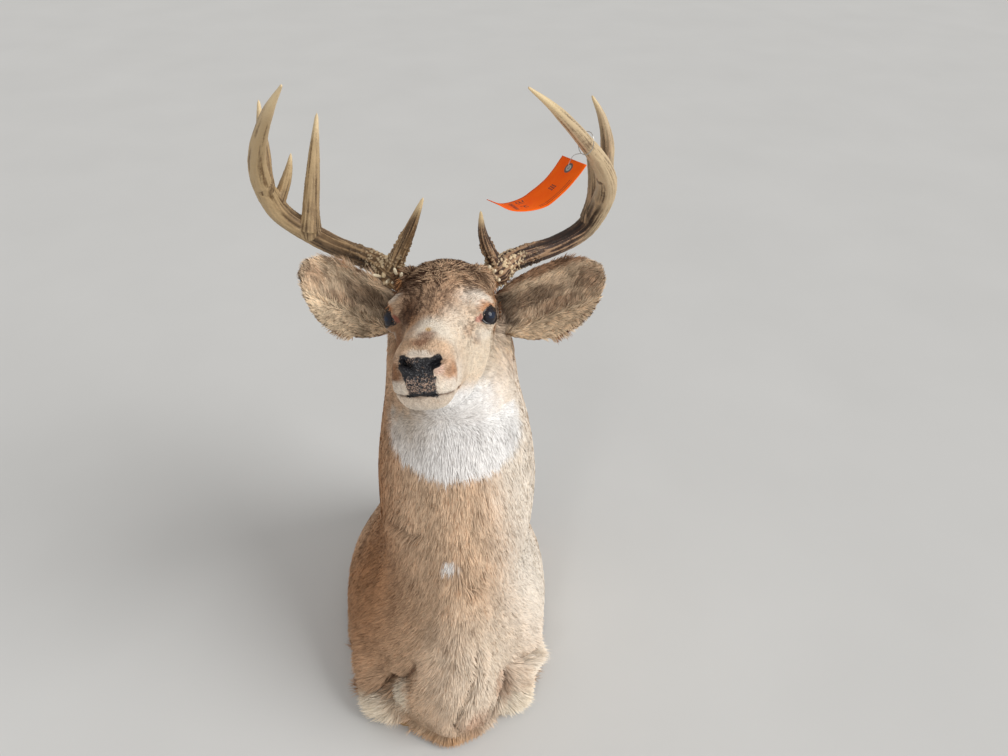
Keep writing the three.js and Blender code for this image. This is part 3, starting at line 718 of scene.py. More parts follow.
head = in_head(skin_points)
for eye in EYES.values():
    share, far = almond_share(head, eye)
    near = far < EYE_RADIUS + SOCKET
    hidden = near & (share < HIDDEN_SHARE)
    deep = EYE_RADIUS - BEHIND_GLASS
    head[hidden] = eye["at"] + (head[hidden] - eye["at"]) / far[hidden, None] * deep
    rim = near & (share >= HIDDEN_SHARE) & (share < HELD_SHARE)
    held = EYE_RADIUS + 0.9 + 1.2 * ease(share, 1.1, 2.0)
    low = rim & (far < held)
    head[low] = eye["at"] + (head[low] - eye["at"]) / far[low, None] * held[low, None]
    print("eye at", eye["at"], "hides", int(hidden.sum()), "points, lifts", int(low.sum()))
skin_points = from_head(head)

# %% Wind the lids round the almond
LID_STEPS, LID_REACH = 72, 50
# beyond the almond's edge in degrees, height over the glass in mm, share of the way to the skin, lift over it in mm
LID_PROFILE = [
    (-3, 0.1, 0, 0), (-1.5, 0.8, 0, 0), (1, 1.5, 0, 0), (4, 2.0, 0, 0), (8, 2.2, 0, 0),
    (13, 2.2, 0.35, 0.3), (19, 2.2, 0.8, 0.25), (26, 2.2, 1, -0.3), (34, 2.2, 1, -1.8),
]


def skin_patch(centre, reach):
    """A search tree of the skin's faces round a place of the head, in mm."""
    head = in_head(skin_points)
    faces = skin_corners.reshape(-1, 4)
    near = (np.linalg.norm(head - centre, axis=1) < reach)[faces].all(1)
    used, packed = np.unique(faces[near], return_inverse=True)
    return BVHTree.FromPolygons(head[used].tolist(), packed.reshape(-1, 4).tolist())


def lid_ring(eye):
    """Points of one eye's lids in the head's frame, ring after ring from the glass outward."""
    tree = skin_patch(eye["at"], LID_REACH)
    turns = np.linspace(0, tau, LID_STEPS, endpoint=False)
    edge = 1 / np.hypot(np.cos(turns) / ALMOND_LONG, np.sin(turns) / (ALMOND_HIGH * almond_height(turns)))
    rings = []
    for beyond, height, share, lift in LID_PROFILE:
        bend = edge + radians(beyond)
        ways = (
            np.cos(bend)[:, None] * eye["out"]
            + (np.sin(bend) * np.cos(turns))[:, None] * eye["ahead"]
            + (np.sin(bend) * np.sin(turns))[:, None] * eye["up"]
        )
        far = np.full(LID_STEPS, EYE_RADIUS + height)
        if share:
            for k, way in enumerate(ways):
                hit = tree.ray_cast(Vector(eye["at"] + way * (LID_REACH - 8)), Vector(-way))
                if hit[0]:
                    over = np.linalg.norm(np.array(hit[0]) - eye["at"])
                    far[k] = (1 - share) * far[k] + share * (max(over, EYE_RADIUS + 0.6) + lift)
        rings.append(eye["at"] + ways * far[:, None])
    return np.concatenate(rings)


def ring_faces(rings, steps, flip):
    """Quads between rings of points."""
    ring, step = np.meshgrid(np.arange(rings - 1) * steps, np.arange(steps), indexing="ij")
    following = (step + 1) % steps
    quads = np.stack([ring + step, ring + following, ring + steps + following, ring + steps + step], -1)
    return quads.reshape(-1, 4)[:, ::-1] if flip else quads.reshape(-1, 4)


lids = [
    (from_head(lid_ring(eye)), ring_faces(len(LID_PROFILE), LID_STEPS, eye["side"] < 0)) for eye in EYES.values()
]
print("lids of", sum(len(points) for points, _ in lids), "points")

# %% [markdown]
# ## Thin the body, keep the head
#
# The coat hides the body's skin, so it needs few faces there, and the head needs all of its own. The
# Decimate modifier takes a vertex group that says where it may collapse edges.

# %% Thin the skin where the coat hides it
skin = mesh_object("skin", skin_points, skin_corners, skin_sides)
group = skin.vertex_groups.new(name="hidden")
hidden = np.clip(skin_where["body"] + 0.5 * skin_where["ears"], 0, 1)
for weight, reach in ((1.0, 0.35), (0.5, 0.15), (0.2, 0.15)):
    chosen = np.flatnonzero(np.abs(hidden - weight) < reach)
    group.add(chosen.tolist(), weight, "REPLACE")
thin_points, thin_corners, thin_sides, _ = applied(
    skin, "DECIMATE", decimate_type="COLLAPSE", use_collapse_triangulate=True, ratio=0.22,
    vertex_group="hidden", vertex_group_factor=4,
)
print("thinned to", len(thin_points), "points and", len(thin_sides), "triangles")

# %% Put the lids on and hand the skin over
bpy.data.objects.remove(skin)
whole_points = [thin_points, *(points for points, _ in lids)]
starts = np.cumsum([0] + [len(points) for points in whole_points])
lid_corners = [(faces + start).ravel() for (_, faces), start in zip(lids, starts[1:])]
skin = mesh_object(
    "skin",
    np.concatenate(whole_points),
    np.concatenate([thin_corners, *lid_corners]),
    np.concatenate([thin_sides, *(np.full(len(faces), 4) for _, faces in lids)]),
)
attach(skin, "root")
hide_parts(*BODY_FLESH, *HEAD_FLESH)
thin_normals = normals_of(thin_points, thin_corners, thin_sides)
lid_count = sum(len(points) for points, _ in lids)
skin_ear_place = np.vstack([ear_place(thin_points, thin_normals), np.zeros((lid_count, 3))])
skin_fold_share = np.concatenate([fold_share(thin_points), np.zeros(lid_count)])
keep(skin, "ear", skin_ear_place)
keep(skin, "fold", skin_fold_share)
print("skin and lids:", len(skin.data.polygons), "faces")

# %% [markdown]
# ## The markings
#
# Skin and coat carry the same markings, so they are written once, as sums on a place. On a whitetail the
# winter coat is tan, darker down the back of the neck and paler on the brisket. The throat has a white bib,
# the crown is dark and flecked, and the muzzle has a white band behind the black nose with a brown patch
# beside each nostril. Some marks are painted light and shade: the neck, shoulder and the lower side of the
# head are painted darker and warmer on the deer's right, away from the window sun, and paler on its left;
# painted shade greys one side of the bib and darkens the crown under the right antler, the ears' bases and
# hollows, the body's folds and the mouth's line. Each mark is a soft ellipsoid or a smooth step, with its
# edge broken by a little noise, because hair never ends on a line.


# %% Colours and spots
def shade(red, green, blue):
    """A colour as seen on a screen, 0 to 255, as the light it gives back."""
    seen = (red / 255, green / 255, blue / 255)
    return tuple(c / 12.92 if c <= 0.04045 else ((c + 0.055) / 1.055) ** 2.4 for c in seen)


TAN, PALE_TAN, DEEP_TAN = shade(214, 184, 154), shade(238, 228, 212), shade(160, 109, 66)
BACK_BROWN, WHITE_HAIR, CREAM = shade(118, 88, 62), shade(246, 244, 242), shade(236, 226, 212)
# the third colour here is painted shade, multiplied into hair and skin deep in the body's folds and along the mouth's
# line
CROWN_BROWN, CROWN_TAN, FOLD_SHADE = shade(80, 52, 34), shade(190, 160, 130), (0.2, 0.12, 0.08)
FACE_TAN, MUZZLE_BROWN, PINK = shade(178, 146, 118), shade(126, 84, 58), shade(196, 120, 108)
NOSE_BLACK, NOSE_PALE, LID_BLACK = shade(22, 22, 27), shade(186, 156, 136), shade(30, 22, 20)
# the ears' grey is skin seen through thin hair, made darker as painted shade in the hollow; their dark is painted
# shade deep at the base
EAR_PALE, EAR_GREY, EAR_RIM = shade(232, 208, 178), shade(138, 113, 90), shade(226, 204, 174)
EAR_BASE_SHADE, EAR_BROWN = shade(56, 40, 32), shade(146, 106, 76)


def spot(bench, place, centre, size, soft=0.35):
    """1 inside an ellipsoid and 0 outside it, with a soft edge."""
    off = bench.length((place - tuple(centre)) / tuple(size))
    return bench.ease(off, 1 - soft, 1 + soft, 1.0, 0.0)


def head_place(bench, place):
    """A place in metres as millimetres of the head, as a vector and its three numbers."""
    off = place * 1000 - tuple(HEAD_AT)
    x, y, z = (bench.dot(off, HEAD_AXES[:, k]) for k in range(3))
    return bench.node("ShaderNodeCombineXYZ", {}, {0: x, 1: y, 2: z}), x, y, z


# centre, size in mm of the head, colour, strength, softness; later ones lie over earlier ones
HEAD_MARKS = [
    ((0, 60, 60), (84, 76, 52), CROWN_TAN, 1, 0.3),
    ((-8, -50, 26), (40, 70, 32), FACE_TAN, 0.9, 0.5),
    ((28, -84, 0), (18, 56, 26), PALE_TAN, 0.6, 0.7),
    ((0, -128, 0), (40, 34, 40), PALE_TAN, 0.9, 0.5),
    # painted light and shade: the lower side of the head is painted pale on the deer's left, towards the window sun,
    # and brown on its right
    ((50, -20, -44), (38, 110, 46), shade(232, 216, 194), 0.95, 0.6),
    ((-58, -10, -46), (30, 96, 46), shade(130, 86, 50), 0.9, 0.6),
    ((0, -158, -58), (60, 50, 30), CREAM, 0.85, 0.6),
    ((-46, -120, -40), (12, 44, 30), PALE_TAN, 0.8, 0.6),
    ((0, -60, -112), (50, 120, 34), WHITE_HAIR, 0.95, 0.4),
    ((-31, -38, 8), (15, 46, 20), shade(84, 52, 30), 0.9, 0.6),
    # painted shadow: the crown's right side is darkened where the right antler's base shades it
    ((-46, 14, 42), (24, 44, 28), shade(72, 44, 28), 0.75, 0.6),
    ((-47, -70, -20), (12, 50, 12), MUZZLE_BROWN, 0.5, 0.8),
    ((-24, -104, 2), (12, 40, 12), DEEP_TAN, 0.6, 0.8),
    ((42, -54, -12), (6, 30, 8), DEEP_TAN, 0.4, 0.8),
    ((50, -36, -27), (5, 26, 7), DEEP_TAN, 0.4, 0.8),
    ((52, -18, 28), (24, 26, 13), CREAM, 0.9, 0.7),
    ((-62, -8, 31), (13, 18, 10), CREAM, 0.6, 0.5),
    ((62, -17, 14), (15, 15, 6), shade(196, 134, 84), 0.8, 0.45),
    ((-66, -14, 13), (13, 15, 6), shade(176, 112, 66), 0.8, 0.45),
    ((60, -10, -22), (18, 34, 9), CREAM, 0.7, 0.7),
    ((-64, 0, -20), (14, 26, 7), CREAM, 0.5, 0.5),
    ((-3, -174, -11), (10, 10, 7), shade(140, 98, 72), 0.8, 0.6),
    ((3, -156, -4), (9, 18, 7), shade(150, 108, 82), 0.75, 0.7),
    ((-20, -150, -12), (10, 34, 14), shade(176, 140, 108), 0.7, 0.7),
    ((0, -190, -21), (22, 5, 4.5), CREAM, 0.8, 0.5),
    ((3, -138, 0), (4, 7, 6), shade(214, 178, 126), 0.9, 0.45),
    ((29, -176, -43), (13, 16, 15), shade(190, 142, 104), 0.9, 0.6),
    ((19, -188, -38), (6, 10, 7), shade(222, 190, 174), 0.7, 0.5),
    ((-29, -178, -43), (13, 20, 18), shade(140, 98, 66), 0.95, 0.5),
    ((28, -184, -58), (14, 16, 9), CREAM, 0.8, 0.5),
    ((-27, -184, -60), (13, 15, 8), CREAM, 0.75, 0.5),
    ((42, -114, -80), (12, 22, 7), shade(200, 140, 88), 0.9, 0.5),
    ((0, -160, -92), (34, 44, 16), CREAM, 0.7, 0.5),
    ((54, -25, -1), (7, 9, 6), PINK, 0.75, 0.4),
    ((-54, -24, 2), (7, 9, 6), shade(150, 80, 66), 0.75, 0.5),
]
BODY_MARKS = [
    ((36, 190, 420), (190, 110, 440), BACK_BROWN, 0.8, 0.5),
    # painted shade: the deer's right side of neck and shoulder, away from the window sun, is painted darker and warmer
    ((-118, -40, 420), (66, 130, 360), DEEP_TAN, 0.7, 0.6),
    ((-150, -90, 160), (110, 150, 190), DEEP_TAN, 0.6, 0.7),
    ((-60, -140, 200), (70, 90, 120), DEEP_TAN, 0.25, 0.8),
    # painted light: the deer's left side of chest and neck, towards the window sun, is painted paler
    ((176, -60, 230), (94, 170, 260), shade(240, 232, 220), 0.85, 0.6),
    ((120, -40, 470), (44, 90, 150), shade(242, 232, 218), 0.8, 0.6),
    ((70, -250, 130), (70, 80, 130), PALE_TAN, 0.6, 0.7),
    ((36, -60, 585), (60, 76, 36), CREAM, 0.9, 0.5),
    ((21, -186, 334), (13, 20, 7.5), WHITE_HAIR, 0.9, 0.4),
    ((-104, -232, 34), (40, 34, 30), shade(238, 226, 206), 0.95, 0.4),
    ((-62, -246, 84), (16, 30, 30), shade(238, 226, 206), 0.9, 0.5),
    ((118, -222, 24), (36, 40, 30), shade(238, 226, 206), 0.95, 0.4),
    ((148, -176, 66), (24, 36, 20), shade(240, 230, 214), 0.9, 0.5),
    ((98, -240, 92), (14, 26, 30), shade(160, 108, 70), 0.6, 0.6),
    ((52, -280, 60), (22, 30, 40), shade(206, 168, 140), 0.7, 0.6),
    ((14, -300, 14), (62, 34, 20), shade(186, 142, 98), 0.75, 0.6),
]


def bib_share(bench, whole):
    """The throat's white bib: square-shouldered, with a flat lower edge, and a tongue up to the chin."""
    off = (whole - (40.0, 0.0, 493.0)) / (94.0, 1.0, 38.0)
    x, y, z = bench.parts(off)
    wide, high = x * x, z * z
    square = bench.ease(wide * wide + high * high, 1.7, 0.55)
    tongue = spot(bench, whole, (34, -90, 535), (66, 200, 58), 0.35)
    return bench.number("MAXIMUM", square, tongue * 0.95) * bench.ease(y, -20.0, -44.0)


# place along and across the lining, size, softness, strength, colour
EAR_MARKS = [
    # the hollow: grey skin through thin hair, darkened further as painted shade
    ((0.40, -0.04, 0), (0.24, 0.42, 1), 0.5, 0.75, EAR_GREY),
    ((0.86, -0.1, 0), (0.11, 0.45, 1), 0.6, 0.5, EAR_BROWN),
    ((0.58, -0.62, 0), (0.16, 0.2, 1), 0.5, 0.5, EAR_BROWN),
]


def ear_colour(bench, ear, colour, stir):
    """Paints the ears over colour. ear holds the share of the length, the place across and the inside."""
    share, across, inside = bench.parts(ear)
    share, across = share + (stir - 0.5) * 0.12, across + (stir - 0.5) * 0.3
    # painted shade: the lining is dark at the ear's base, where it runs into the head
    lining = bench.mix(bench.ease(share, 0.1, 0.3), EAR_BASE_SHADE, EAR_PALE)
    flat = bench.node("ShaderNodeCombineXYZ", {}, {0: share, 1: across, 2: 0.0})
    for centre, size, soft, strength, paint in EAR_MARKS:
        lining = bench.mix(spot(bench, flat, centre, size, soft) * strength, lining, paint)
    lining = bench.mix(bench.ease(across, 0.55, 0.8) * 0.85, lining, EAR_BROWN)
    lining = bench.mix(bench.ease(across, -0.65, -0.85), lining, EAR_RIM)
    outer = bench.mix(bench.ease(share, 0.3, 0.9), DEEP_TAN, BACK_BROWN)
    painted = bench.mix(inside, outer, lining)
    return bench.mix(bench.ease(share, 0.06, 0.16), colour, painted)


# how far, in metres, noise moves the edge of a mark on the head and on the body
HEAD_STIR, BODY_STIR = 0.012, 0.03
# where the white bib is greyed by painted shade, on the deer's right side of the throat: centre and size in mm
BIB_SHADE = ((-42, -60, 560), (50, 90, 70))


def hair_colour(bench, place, ear, fold):
    """The colour of the hair that grows at a place, in metres, with its place on an ear and its share of a fold, where
    painted shade darkens it.
    """
    stir = bench.node("ShaderNodeTexNoise", {}, {"Vector": place, "Scale": 85.0, "Detail": 3.0}, out="Color")
    stir = stir - (0.5, 0.5, 0.5)
    head, x, y, z = head_place(bench, place + stir * HEAD_STIR)
    whole = (place + stir * BODY_STIR) * 1000
    colour = bench.mix(0.0, TAN, TAN)
    for centre, size, paint, strength, soft in BODY_MARKS:
        colour = bench.mix(spot(bench, whole, centre, size, soft) * strength, colour, paint)
    # painted shade greys the white bib on the side away from the window sun
    bib_white_and_shade = bench.mix(spot(bench, whole, *BIB_SHADE, 0.6), WHITE_HAIR, shade(186, 172, 156))
    colour = bench.mix(bib_share(bench, whole) * 0.96, colour, bib_white_and_shade)
    for centre, size, paint, strength, soft in HEAD_MARKS:
        colour = bench.mix(spot(bench, head, centre, size, soft) * strength, colour, paint)
    fine = bench.noise(place, 160, 3)
    colour = ear_colour(bench, ear, colour, fine)
    # painted shade: deep in the folds and along the mouth's line the colour is multiplied darker
    colour = bench.mix(fold * bench.ease(fine, 0.25, 0.6, 0.5, 0.95), colour, FOLD_SHADE, "MULTIPLY")
    return colour, head, x, y, z


# centre, size, strength of the flecks that run down from the crown
FLECKED = [
    ((-30, -36, 16), (20, 56, 24), 0.9), ((-4, -60, 24), (26, 60, 20), 0.5),
    ((40, -46, -8), (20, 44, 22), 0.35), ((-46, 20, 46), (22, 40, 26), 1.0),
]


def crown_share(bench, head):
    """Where the hair is flecked dark: the crown and forehead, with a tongue down each brow."""
    flecked = spot(bench, head, (-6, 40, 56), (64, 80, 46), 0.5)
    for centre, size, strength in FLECKED:
        flecked = bench.number("MAXIMUM", flecked, spot(bench, head, centre, size, 0.6) * strength)
    return flecked


print("marks:", len(HEAD_MARKS), "on the head,", len(BODY_MARKS), "on the body")

# %% [markdown]
# ## The finish of skin and coat
#
# Between the tufts the skin shows only as shade, so it takes the hair's colour, darker, with a streaked
# bump for the shortest hair. The bare nose is black and wet-looking, cobbled with small plates whose cracks
# show pale. The lids' rims are bare and nearly black.
#
# A tuft keeps its root's colour along its whole length, so the marks stay crisp. It is dark at the root,
# where it lies in the shade of its neighbours, and pale towards the tip. One number per tuft varies its
# tone, and on the crown the same number decides whether it is a dark hair or a tan one.


# %% Skin finish
def nose_share(bench, x, y, z):
    """1 on the bare nose: wide at the nostrils' wings, narrow below them, a little wider at the lip."""
    left = bench.ease(z, -40, -34, 14.5, 23.5) + bench.ease(z, -42, -48, 0.0, 1.5) + bench.ease(z, -65, -69, 0.0, 2.0)
    right = bench.ease(z, -58, -36, 16.0, 25.0) + bench.ease(z, -65, -69, 0.0, 4.5)
    across = bench.ease(x - left, -1.2, 1.0, 1.0, 0.0) * bench.ease(x + right, 1.2, -1.0, 1.0, 0.0)
    top = bench.ease(z + bench.number("ABSOLUTE", x + 1.0) * -0.12, -26.5, -24.0, 1.0, 0.0)
    return across * top * bench.ease(z, -71.5, -70) * bench.ease(y, -168, -173)


def lid_share(bench, head):
    """1 on the rims of the lids."""
    shares = []
    for eye in EYES.values():
        off = head - tuple(eye["at"])
        out, ahead, up = (bench.dot(off, eye[way]) for way in ("out", "ahead", "up"))
        wide = bench.number("ARCTAN2", ahead, out) / ALMOND_LONG
        high = bench.number("ARCTAN2", up, out) / ALMOND_HIGH
        edge = bench.number("SQRT", wide * wide + high * high)
        near = bench.ease(bench.length(off), EYE_RADIUS + 3.4, EYE_RADIUS + 2.4)
        shares.append(bench.ease(edge, 1.3, 1.12) * near)
    return bench.number("MAXIMUM", *shares)


# what the shade of the hair leaves of the skin's colour
UNDER_COAT, UNDER_LINING, ROOT_WARMTH = (0.5, 0.4, 0.32), (0.34, 0.28, 0.24), (0.72, 0.5, 0.32)
skin_bench = Bench("hide_finish")
skin_place = skin_bench.place()
skin_ear = skin_bench.kept("ear", "Vector")
skin_fold = skin_bench.kept("fold")
skin_colour, skin_head, skin_x, skin_y, skin_z = hair_colour(skin_bench, skin_place, skin_ear, skin_fold)
fleck = skin_bench.noise(skin_place, 700, 2)
flecked = crown_share(skin_bench, skin_head) * skin_bench.ease(fleck, 0.35, 0.6)
skin_colour = skin_bench.mix(flecked, skin_colour, CROWN_BROWN)
skin_colour = skin_bench.mix(skin_bench.ease(fleck, 0.2, 0.8, 0.15, 0.45), skin_colour, UNDER_COAT, "MULTIPLY")
skin_colour = skin_bench.mix(skin_bench.parts(skin_ear)[2], skin_colour, UNDER_LINING, "MULTIPLY")
on_nose = nose_share(skin_bench, skin_x, skin_y, skin_z)
plates = skin_bench.node(
    "ShaderNodeTexVoronoi", {"feature": "DISTANCE_TO_EDGE"},
    {"Vector": skin_place * (1, 1, 0.6), "Scale": 620.0, "Randomness": 1.0},
)
worn = skin_bench.noise(skin_place, 260, 4, 0.65) + skin_bench.ease(skin_z, -38, -56, -0.15, 0.05)
worn = worn + spot(skin_bench, skin_head, (-8, -190, -29), (9, 20, 5), 0.5) * 0.14
cracks = skin_bench.ease(plates, 0.13, 0.05) * skin_bench.ease(worn, 0.47, 0.58) * skin_bench.ease(skin_z, -66, -63)
nose_colour = skin_bench.mix(cracks, NOSE_BLACK, NOSE_PALE)
skin_colour = skin_bench.mix(on_nose, skin_colour, nose_colour)
on_lid = lid_share(skin_bench, skin_head)
skin_colour = skin_bench.mix(on_lid, skin_colour, LID_BLACK)
bare = skin_bench.number("MAXIMUM", on_nose, on_lid)
height = plates * on_nose * 2.0 + fleck * 0.3
hide_finish = skin_bench.finish(
    Base_Color=skin_colour,
    Roughness=skin_bench.ease(bare, 0, 1, 0.8, 0.19),
    Specular_IOR_Level=0.4,
    Normal=skin_bench.bump(height, 0.0012, 0.7),
)
skin.data.materials.append(hide_finish)
print("hide finish has", len(skin_bench.tree.nodes), "nodes")

# %% Coat finish
coat_bench = Bench("coat_finish")
root = coat_bench.kept("root", "Vector")
along = coat_bench.kept("along")
tone = coat_bench.kept("tone")
coat_ear = coat_bench.kept("ear", "Vector")
coat_fold = coat_bench.kept("fold")
coat_colour, coat_head, *_ = hair_colour(coat_bench, root, coat_ear, coat_fold)
crown = crown_share(coat_bench, coat_head)
coat_colour = coat_bench.mix(crown * coat_bench.ease(tone, 0.62, 0.42), coat_colour, CROWN_BROWN)
on_head = spot(coat_bench, coat_head, (0, -30, 10), (95, 120, 80), 0.4)
in_ear = coat_bench.parts(coat_ear)[2]
pale = coat_bench.ease(coat_bench.dot(coat_colour, (0.3, 0.6, 0.1)), 0.45, 0.8)
strength = (1.0 - on_head * 0.3 + crown * 0.8 + in_ear * 0.9) * (1.0 - pale * 0.55)
from_root = coat_bench.ease(along, 0, 0.75, 0.74, 1.07)
coat_colour = coat_colour * (from_root * (1.0 + coat_bench.ease(tone, 0.05, 0.95, -0.29, 0.24) * strength))
warm = coat_bench.ease(tone, 0.0, 0.4, 0.3, 0.0) * (1.0 - on_head * 0.6) * (1.0 - pale * 0.8)
coat_colour = coat_bench.mix(warm, coat_colour, ROOT_WARMTH, "MULTIPLY")
coat_finish = coat_bench.finish(Base_Color=coat_colour, Roughness=0.62, Specular_IOR_Level=0.25)
print("coat finish has", len(coat_bench.tree.nodes), "nodes")

# %% [markdown]
# ## Scatter the roots
#
# Tufts are counted per square millimetre of skin: few and long on the body, many and short on the face. A
# face of the mesh gets its share by area, and each root falls at a random place in it. The seed is fixed,
# so every run grows the same coat.

# %% Roots by area
COAT_SEED = 20
chance = np.random.default_rng(COAT_SEED)
triangles = thin_corners.reshape(-1, 3)
face_points = thin_points[triangles]
face_cross = np.cross(face_points[:, 1] - face_points[:, 0], face_points[:, 2] - face_points[:, 0])
face_area = np.linalg.norm(face_cross, axis=1) / 2 * 1e6
face_middle = face_points.mean(1)


CLOUD_CELLS, CLOUD_SHIFT = 24, 400


def cloud(points, size, seed):
    """Smooth random values from 0 to 1 that change over about that size. They repeat after 24 sizes."""
    values = np.random.default_rng(seed).random((CLOUD_CELLS,) * 3)
    cell = points / size + CLOUD_SHIFT
    low = np.floor(cell).astype(int)
    t = cell - low
    t = t * t * (3 - 2 * t)
    total = 0
    for corner in np.ndindex(2, 2, 2):
        weight = np.prod([t[:, k] if corner[k] else 1 - t[:, k] for k in range(3)], axis=0)
        total = total + weight * values[tuple(((low + corner) % CLOUD_CELLS).T)]
    return total


def scattered(density):
    """Roots on the skin, density of them per square mm of each face: places, normals."""
    count = chance.poisson(face_area * density)
    face = np.repeat(np.arange(len(triangles)), count)
    share = -np.log(np.maximum(chance.random((len(face), 3)), 1e-9))
    share /= share.sum(1, keepdims=True)
    place = (face_points[face] * share[:, :, None]).sum(1)
    normal = unit((thin_normals[triangles[face]] * share[:, :, None]).sum(1))
    return place, normal


middle_where = regions_of(face_middle)
middle_head = in_head(face_middle)


def bare_share(head):
    """1 where no hair grows: the nose, the lids' rims and the glass."""
    x, z = head[:, 0], head[:, 2]
    left = 14.5 + 9 * ease(z, -40, -34) + 1.5 * ease(z, -42, -48) + 2 * ease(z, -65, -69)
    right = 16 + 9 * ease(z, -58, -36) + 4.5 * ease(z, -65, -69)
    nose = ease(x - left, 1.5, 0) * ease(-x - right, 1.5, 0) * ease(z - 0.12 * np.abs(x + 1), -23, -25.5)
    nose = nose * ease(z, -72, -70.5) * ease(head[:, 1], -168, -173)
    eyes = np.zeros(len(head))
    for eye in EYES.values():
        share, far = almond_share(head, eye)
        eyes = np.maximum(eyes, ease(share, 1.32, 1.22) * ease(far, EYE_RADIUS + 8, EYE_RADIUS + 5))
    return np.maximum(nose, eyes)


muzzle_share = ease(middle_head[:, 1], -60, -150) * middle_where["face"]
on_floor = ease(face_middle[:, 2], 0.004, 0.010)
under = ease(unit(face_cross)[:, 2], -0.95, -0.8)
# tufts per square mm
density = (
    middle_where["body"] * (0.39 + 0.3 * ease(face_middle[:, 2], 0.56, 0.62))
    + middle_where["face"] * (1.05 + 0.35 * muzzle_share)
    + middle_where["ears"] * 0.6
)
density = density * (1 - bare_share(middle_head)) * on_floor * np.where(face_middle[:, 2] < 0.022, under, 1)
density = density * (1 - 0.6 * fold_share(face_middle))
root_place, root_normal = scattered(density)
print("roots:", len(root_place))

# %% [markdown]
# ## Which way the hair lies
#
# Hair slopes away from the nose: back over the face, down the neck to the board. Over the shoulders it fans
# out to the sides, and on the ears it runs from root to tip. These ways blend where the parts meet, and a
# slow noise turns them a little, so that locks form.


# %% The lie of the coat
BREAST_LINE, MIDLINE = 0.040, 0.036  # m


def lie_of(place, normal, where):
    """The unit direction in which hair lies at each root, along the skin."""
    head = in_head(place)
    face = np.stack([head[:, 0] * 0.006, np.ones(len(place)), -0.25 - 0.004 * (head[:, 2] + 40)], 1)
    face = face @ HEAD_AXES.T
    fan = ease(place[:, 2], 0.40, 0.16)
    aside = place[:, 0] - BREAST_LINE
    spread = np.sign(aside) * np.clip((np.abs(aside) - 0.03) / 0.11, 0, 1.1)
    down = np.stack([spread * (0.2 + 1.15 * fan), 0.2 * fan, -np.ones(len(place))], 1)
    ears = np.zeros_like(place)
    for ear in EARS.values():
        line = np.array(ear["tip"], float) - ear["root"]
        share, off = along_ear(place, ear)
        near = (share > -0.3) & (off < 75)
        middle = np.array(ear["root"]) + share[:, None] * line
        outward = place * 1000 - middle
        flow = unit(line) + 0.012 * outward * ease(share, 0.1, 0.6)[:, None]
        up = unit(np.cross(unit(line), ear["mouth"]))
        up *= np.sign(up[2])
        inward = unit(line) + up * (0.7 - 0.75 * root_ear[:, 1:2]) * ease(share, 1.0, 0.6)[:, None]
        flow = flow + (inward - flow) * root_ear[:, 2:3] * ease(np.abs(root_ear[:, 1:2]), 0.95, 0.75)
        ears[near] = flow[near]
    flow = unit(face) * where["face"][:, None] + unit(down) * where["body"][:, None] + ears * where["ears"][:, None]
    sway = np.stack([cloud(place, 0.022, seed) - 0.5 for seed in (1, 2, 3)], 1)
    locks = np.stack([cloud(place, 0.007, seed) - 0.5 for seed in (4, 5, 6)], 1)
    loose = 0.6 * where["ears"][:, None]
    flow = unit(flow) + (0.3 + loose) * sway + (0.15 + loose) * locks + 0.09 * chance.standard_normal(place.shape)
    flow = flow - normal * (flow * normal).sum(1, keepdims=True)
    return unit(flow)


root_where = regions_of(root_place)
root_head = in_head(root_place)
root_ear = ear_place(root_place, root_normal)
root_fold = fold_share(root_place)
root_lie = lie_of(root_place, root_normal, root_where)
print("lie of the coat at", len(root_lie), "roots")

# %% [markdown]
# ## Grow the tufts
#
# A tuft is a thin ribbon that narrows to a point: a quad and a triangle on the body and face, and one quad
# more on the long hair of the ears, which has to bend. It leaves the skin flat, lifts to half the coat's
# depth and curves back over the body. A random roll turns each ribbon a little out of the surface, so that
# the light catches them differently, as it does on real locks.


# %% Length, width and lift of each tuft
# where the hem's corners and the end of the fold carry long loose hair
FLUFFY = [(-100, -224, 36), (-66, -240, 70), (120, -216, 26), (150, -174, 66)]
FLUFF_REACH = 26


def tuft_sizes(place, head, where, ear, fold):
    """Length, width and lift of the tip, in metres."""
    muzzle = ease(head[:, 1], -40, -150)
    crown = ease(head[:, 1], -30, 40)
    lip = ease(head[:, 2], -58, -66) * ease(head[:, 1], -110, -140)
    face = (0.0064 + 0.0014 * crown - 0.0026 * muzzle) * (1 - 0.5 * lip)
    body = 0.016 + 0.009 * ease(place[:, 2], 0.56, 0.4)
    lining = ear[:, 2] * ease(np.abs(ear[:, 1]), 1.0, 0.7)
    ears = 0.007 + 0.018 * lining * ease(ear[:, 0], 1.0, 0.7)
    fluff = sum(np.exp(-(((place * 1000 - middle) / FLUFF_REACH) ** 2).sum(1)) for middle in FLUFFY)

    def by_part(on_face, on_body, on_ears):
        return where["face"] * on_face + where["body"] * on_body + where["ears"] * on_ears

    length = by_part(face, body, ears) * (1 - 0.5 * fold) + 0.010 * fluff
    wide = by_part(0.00095 - 0.0002 * muzzle, 0.0012, 0.0010 - 0.0002 * lining)
    lift = by_part(0.0010 + 0.0001 * crown - 0.0004 * muzzle, 0.0034, 0.0009 + 0.0026 * lining)
    return length, wide, lift * (1 - 0.6 * fold) + 0.007 * fluff


# rows of a tuft: the share of its length, of its lift, and half its width
SHORT_ROWS = ((0.0, -0.08, 0.42), (0.5, 0.82, 0.5), (1.0, 1.0, 0.0))
LONG_ROWS = ((0.0, -0.08, 0.4), (0.36, 0.62, 0.5), (0.72, 0.98, 0.36), (1.0, 1.0, 0.0))
TUFT_ROLL = 0.5  # radians


